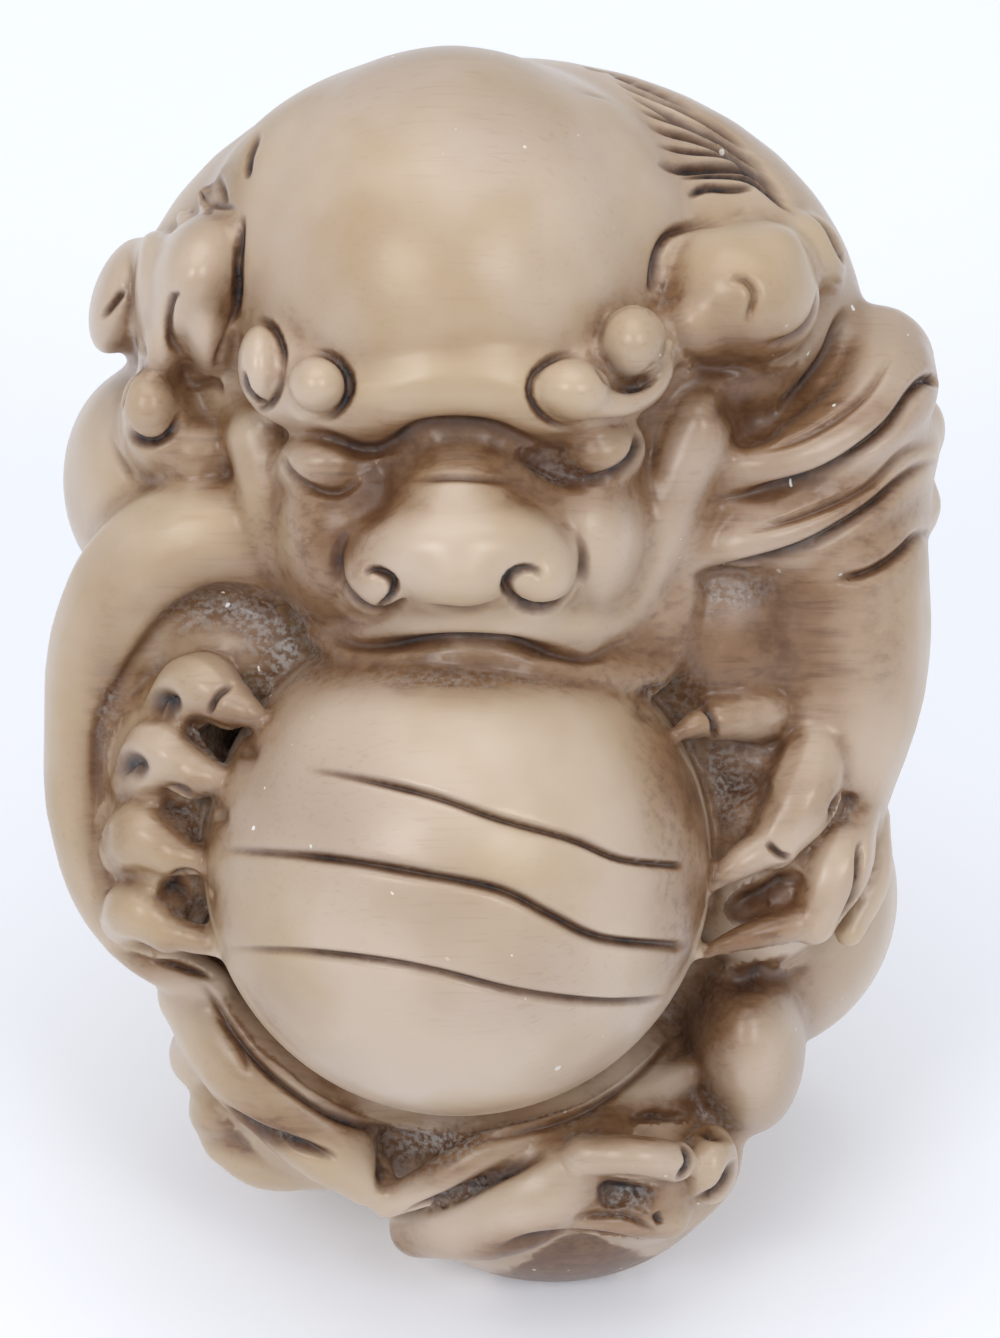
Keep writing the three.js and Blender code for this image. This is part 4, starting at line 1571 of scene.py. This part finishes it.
@dataclass(frozen=True)
class Studio:
    """The plain floor, the soft lights and the camera.

    Attributes:
        lens: The camera's focal length, in millimetres.
        sensor: The height of its sensor, in millimetres.
        focus: How far out of the drawing the middle of the picture lies.
        photo: The photograph's size, in pixels.
        photo_middle: Where the drawing's middle lies on the photograph, in pixels.
        photo_unit: One hundredth of the drawn height on the photograph, in pixels.
        floor_size: The length of the floor's side, in metres.
        floor_glow: How strongly the floor shines by itself, as lit paper does.
        lamps: The soft lights.
        aim_height: The height above the floor that they look at, in metres.
        room_colour: The colour of the light that comes from all sides.
        room_strength: Its strength.
    """

    lens: float = 270.0
    sensor: float = 36.0
    focus: float = 8.0
    photo: tuple[int, int] = (1000, 1338)
    photo_middle: tuple[float, float] = (497.0, 673.5)
    photo_unit: float = 12.63
    floor_size: float = 6.0
    floor_colour: tuple[float, ...] = tone(232, 235, 242)
    floor_glow: float = 0.22
    lamps: tuple[Lamp, ...] = (
        Lamp("key", (-0.27, -0.42, 0.42), 0.22, 0.85),
        Lamp("fill", (0.25, -0.42, 0.42), 0.22, 0.75, (0.97, 0.98, 1.0)),
        Lamp("top", (-0.03, 0.02, 0.55), 0.5, 1.2),
    )
    aim_height: float = 0.025
    room_colour: tuple[float, ...] = (0.93, 0.96, 1.0, 1.0)
    room_strength: float = 0.5

    def floor(self) -> None:
        """Lays the floor."""
        deselect()
        bpy.ops.mesh.primitive_plane_add(size=self.floor_size)
        floor = bpy.context.object
        floor.name = "floor"
        material = bpy.data.materials.new("paper")
        NodeBook(material).surface(
            {
                "Base Color": self.floor_colour,
                "Roughness": 0.9,
                "Specular IOR Level": 0.1,
                "Emission Color": self.floor_colour,
                "Emission Strength": self.floor_glow,
            }
        )
        floor.data.materials.append(material)

    def room(self) -> None:
        """Lights the room evenly."""
        world = bpy.data.worlds.new("room")
        bpy.context.scene.world = world
        world.use_nodes = True
        back = world.node_tree.nodes["Background"]
        back.inputs["Color"].default_value = self.room_colour
        back.inputs["Strength"].default_value = self.room_strength

    def camera(self) -> None:
        """Sets the camera square to the drawing, framed as the photograph is."""
        wide, tall = self.photo
        across = (wide / 2 - self.photo_middle[0]) / self.photo_unit
        up = (self.photo_middle[1] - tall / 2) / self.photo_unit
        stand = DRAWING.standing()
        target = stand @ Vector((across, up, self.focus))
        out = (stand.to_3x3() @ Vector((0.0, 0.0, 1.0))).normalized()
        frame_height = tall / self.photo_unit * DRAWING.unit
        distance = frame_height * self.lens / self.sensor
        bpy.ops.object.camera_add(location=target + out * distance)
        camera = bpy.context.object
        camera.rotation_euler = (math.pi / 2 - DRAWING.slant, 0.0, 0.0)
        camera.data.sensor_fit = "VERTICAL"
        camera.data.sensor_height = self.sensor
        camera.data.lens = self.lens
        camera.data.clip_start = 0.01
        camera.data.clip_end = 20.0
        bpy.context.scene.camera = camera

    def build(self) -> None:
        """Sets up the whole studio."""
        self.floor()
        self.room()
        target = Vector((0.0, 0.0, self.aim_height))
        for lamp in self.lamps:
            lamp.hang(target)
        self.camera()
        bpy.context.scene.view_settings.view_transform = "Standard"


class Part(Protocol):
    """What every part of the figure can do."""

    def model(self, clay: Clay) -> None:
        """Puts its masses on."""

    def carve(self, chisel: Chisel) -> None:
        """Hands over its strokes and its patches of stain and painted shade."""


@dataclass
class Figurine:
    """The whole figure, put together from its parts.

    Attributes:
        parts: What is modelled and carved, in order.
        rounds: The grain of the skin and the passes of smoothing in each round of kneading.
        skin: The finishing of the skin.
    """

    parts: tuple[Part, ...] = (
        Trunk(),
        Head(),
        Nose(),
        Eyes(),
        BrowCurls(),
        Ears(),
        Ball(),
        LeftForeleg(),
        RightForeleg(),
        HindLegs(),
        Tail(),
        Mane(),
    )
    rounds: tuple[tuple[Stage, float, int], ...] = (
        (Stage.BROAD, 0.9, 6),
        (Stage.MIDDLE, 0.5, 10),
        (Stage.FINE, 0.34, 5),
    )
    skin: Skin = field(default_factory=Skin)

    def build(self) -> bpy.types.Object:
        """Models, carves and dresses the figure.

        Returns:
            The one finished piece.
        """
        clay = Clay()
        chisel = Chisel()
        for part in self.parts:
            part.model(clay)
            part.carve(chisel)
            log.info("modelled %s", type(part).__name__)
        earlier = None
        for stage, grain, passes in self.rounds:
            if earlier:
                clay.pass_on(earlier, stage)
            skin = clay.knead(stage, grain, passes)
            earlier = stage
        chisel.refine(skin)
        chisel.carve(skin)
        self.skin.finish(skin)
        skin.name = PIECE
        skin.data.materials.clear()
        skin.data.materials.append(StainedResinWithPaintedShade().make())
        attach(skin, "root")
        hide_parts(NODE)
        return skin


def main() -> None:
    """Builds the figure and the studio, and reports each piece."""
    piece = Figurine().build()
    log.info("%s: %d faces", piece.name, len(piece.data.polygons))
    Studio().build()


if __name__ == "__main__":
    main()
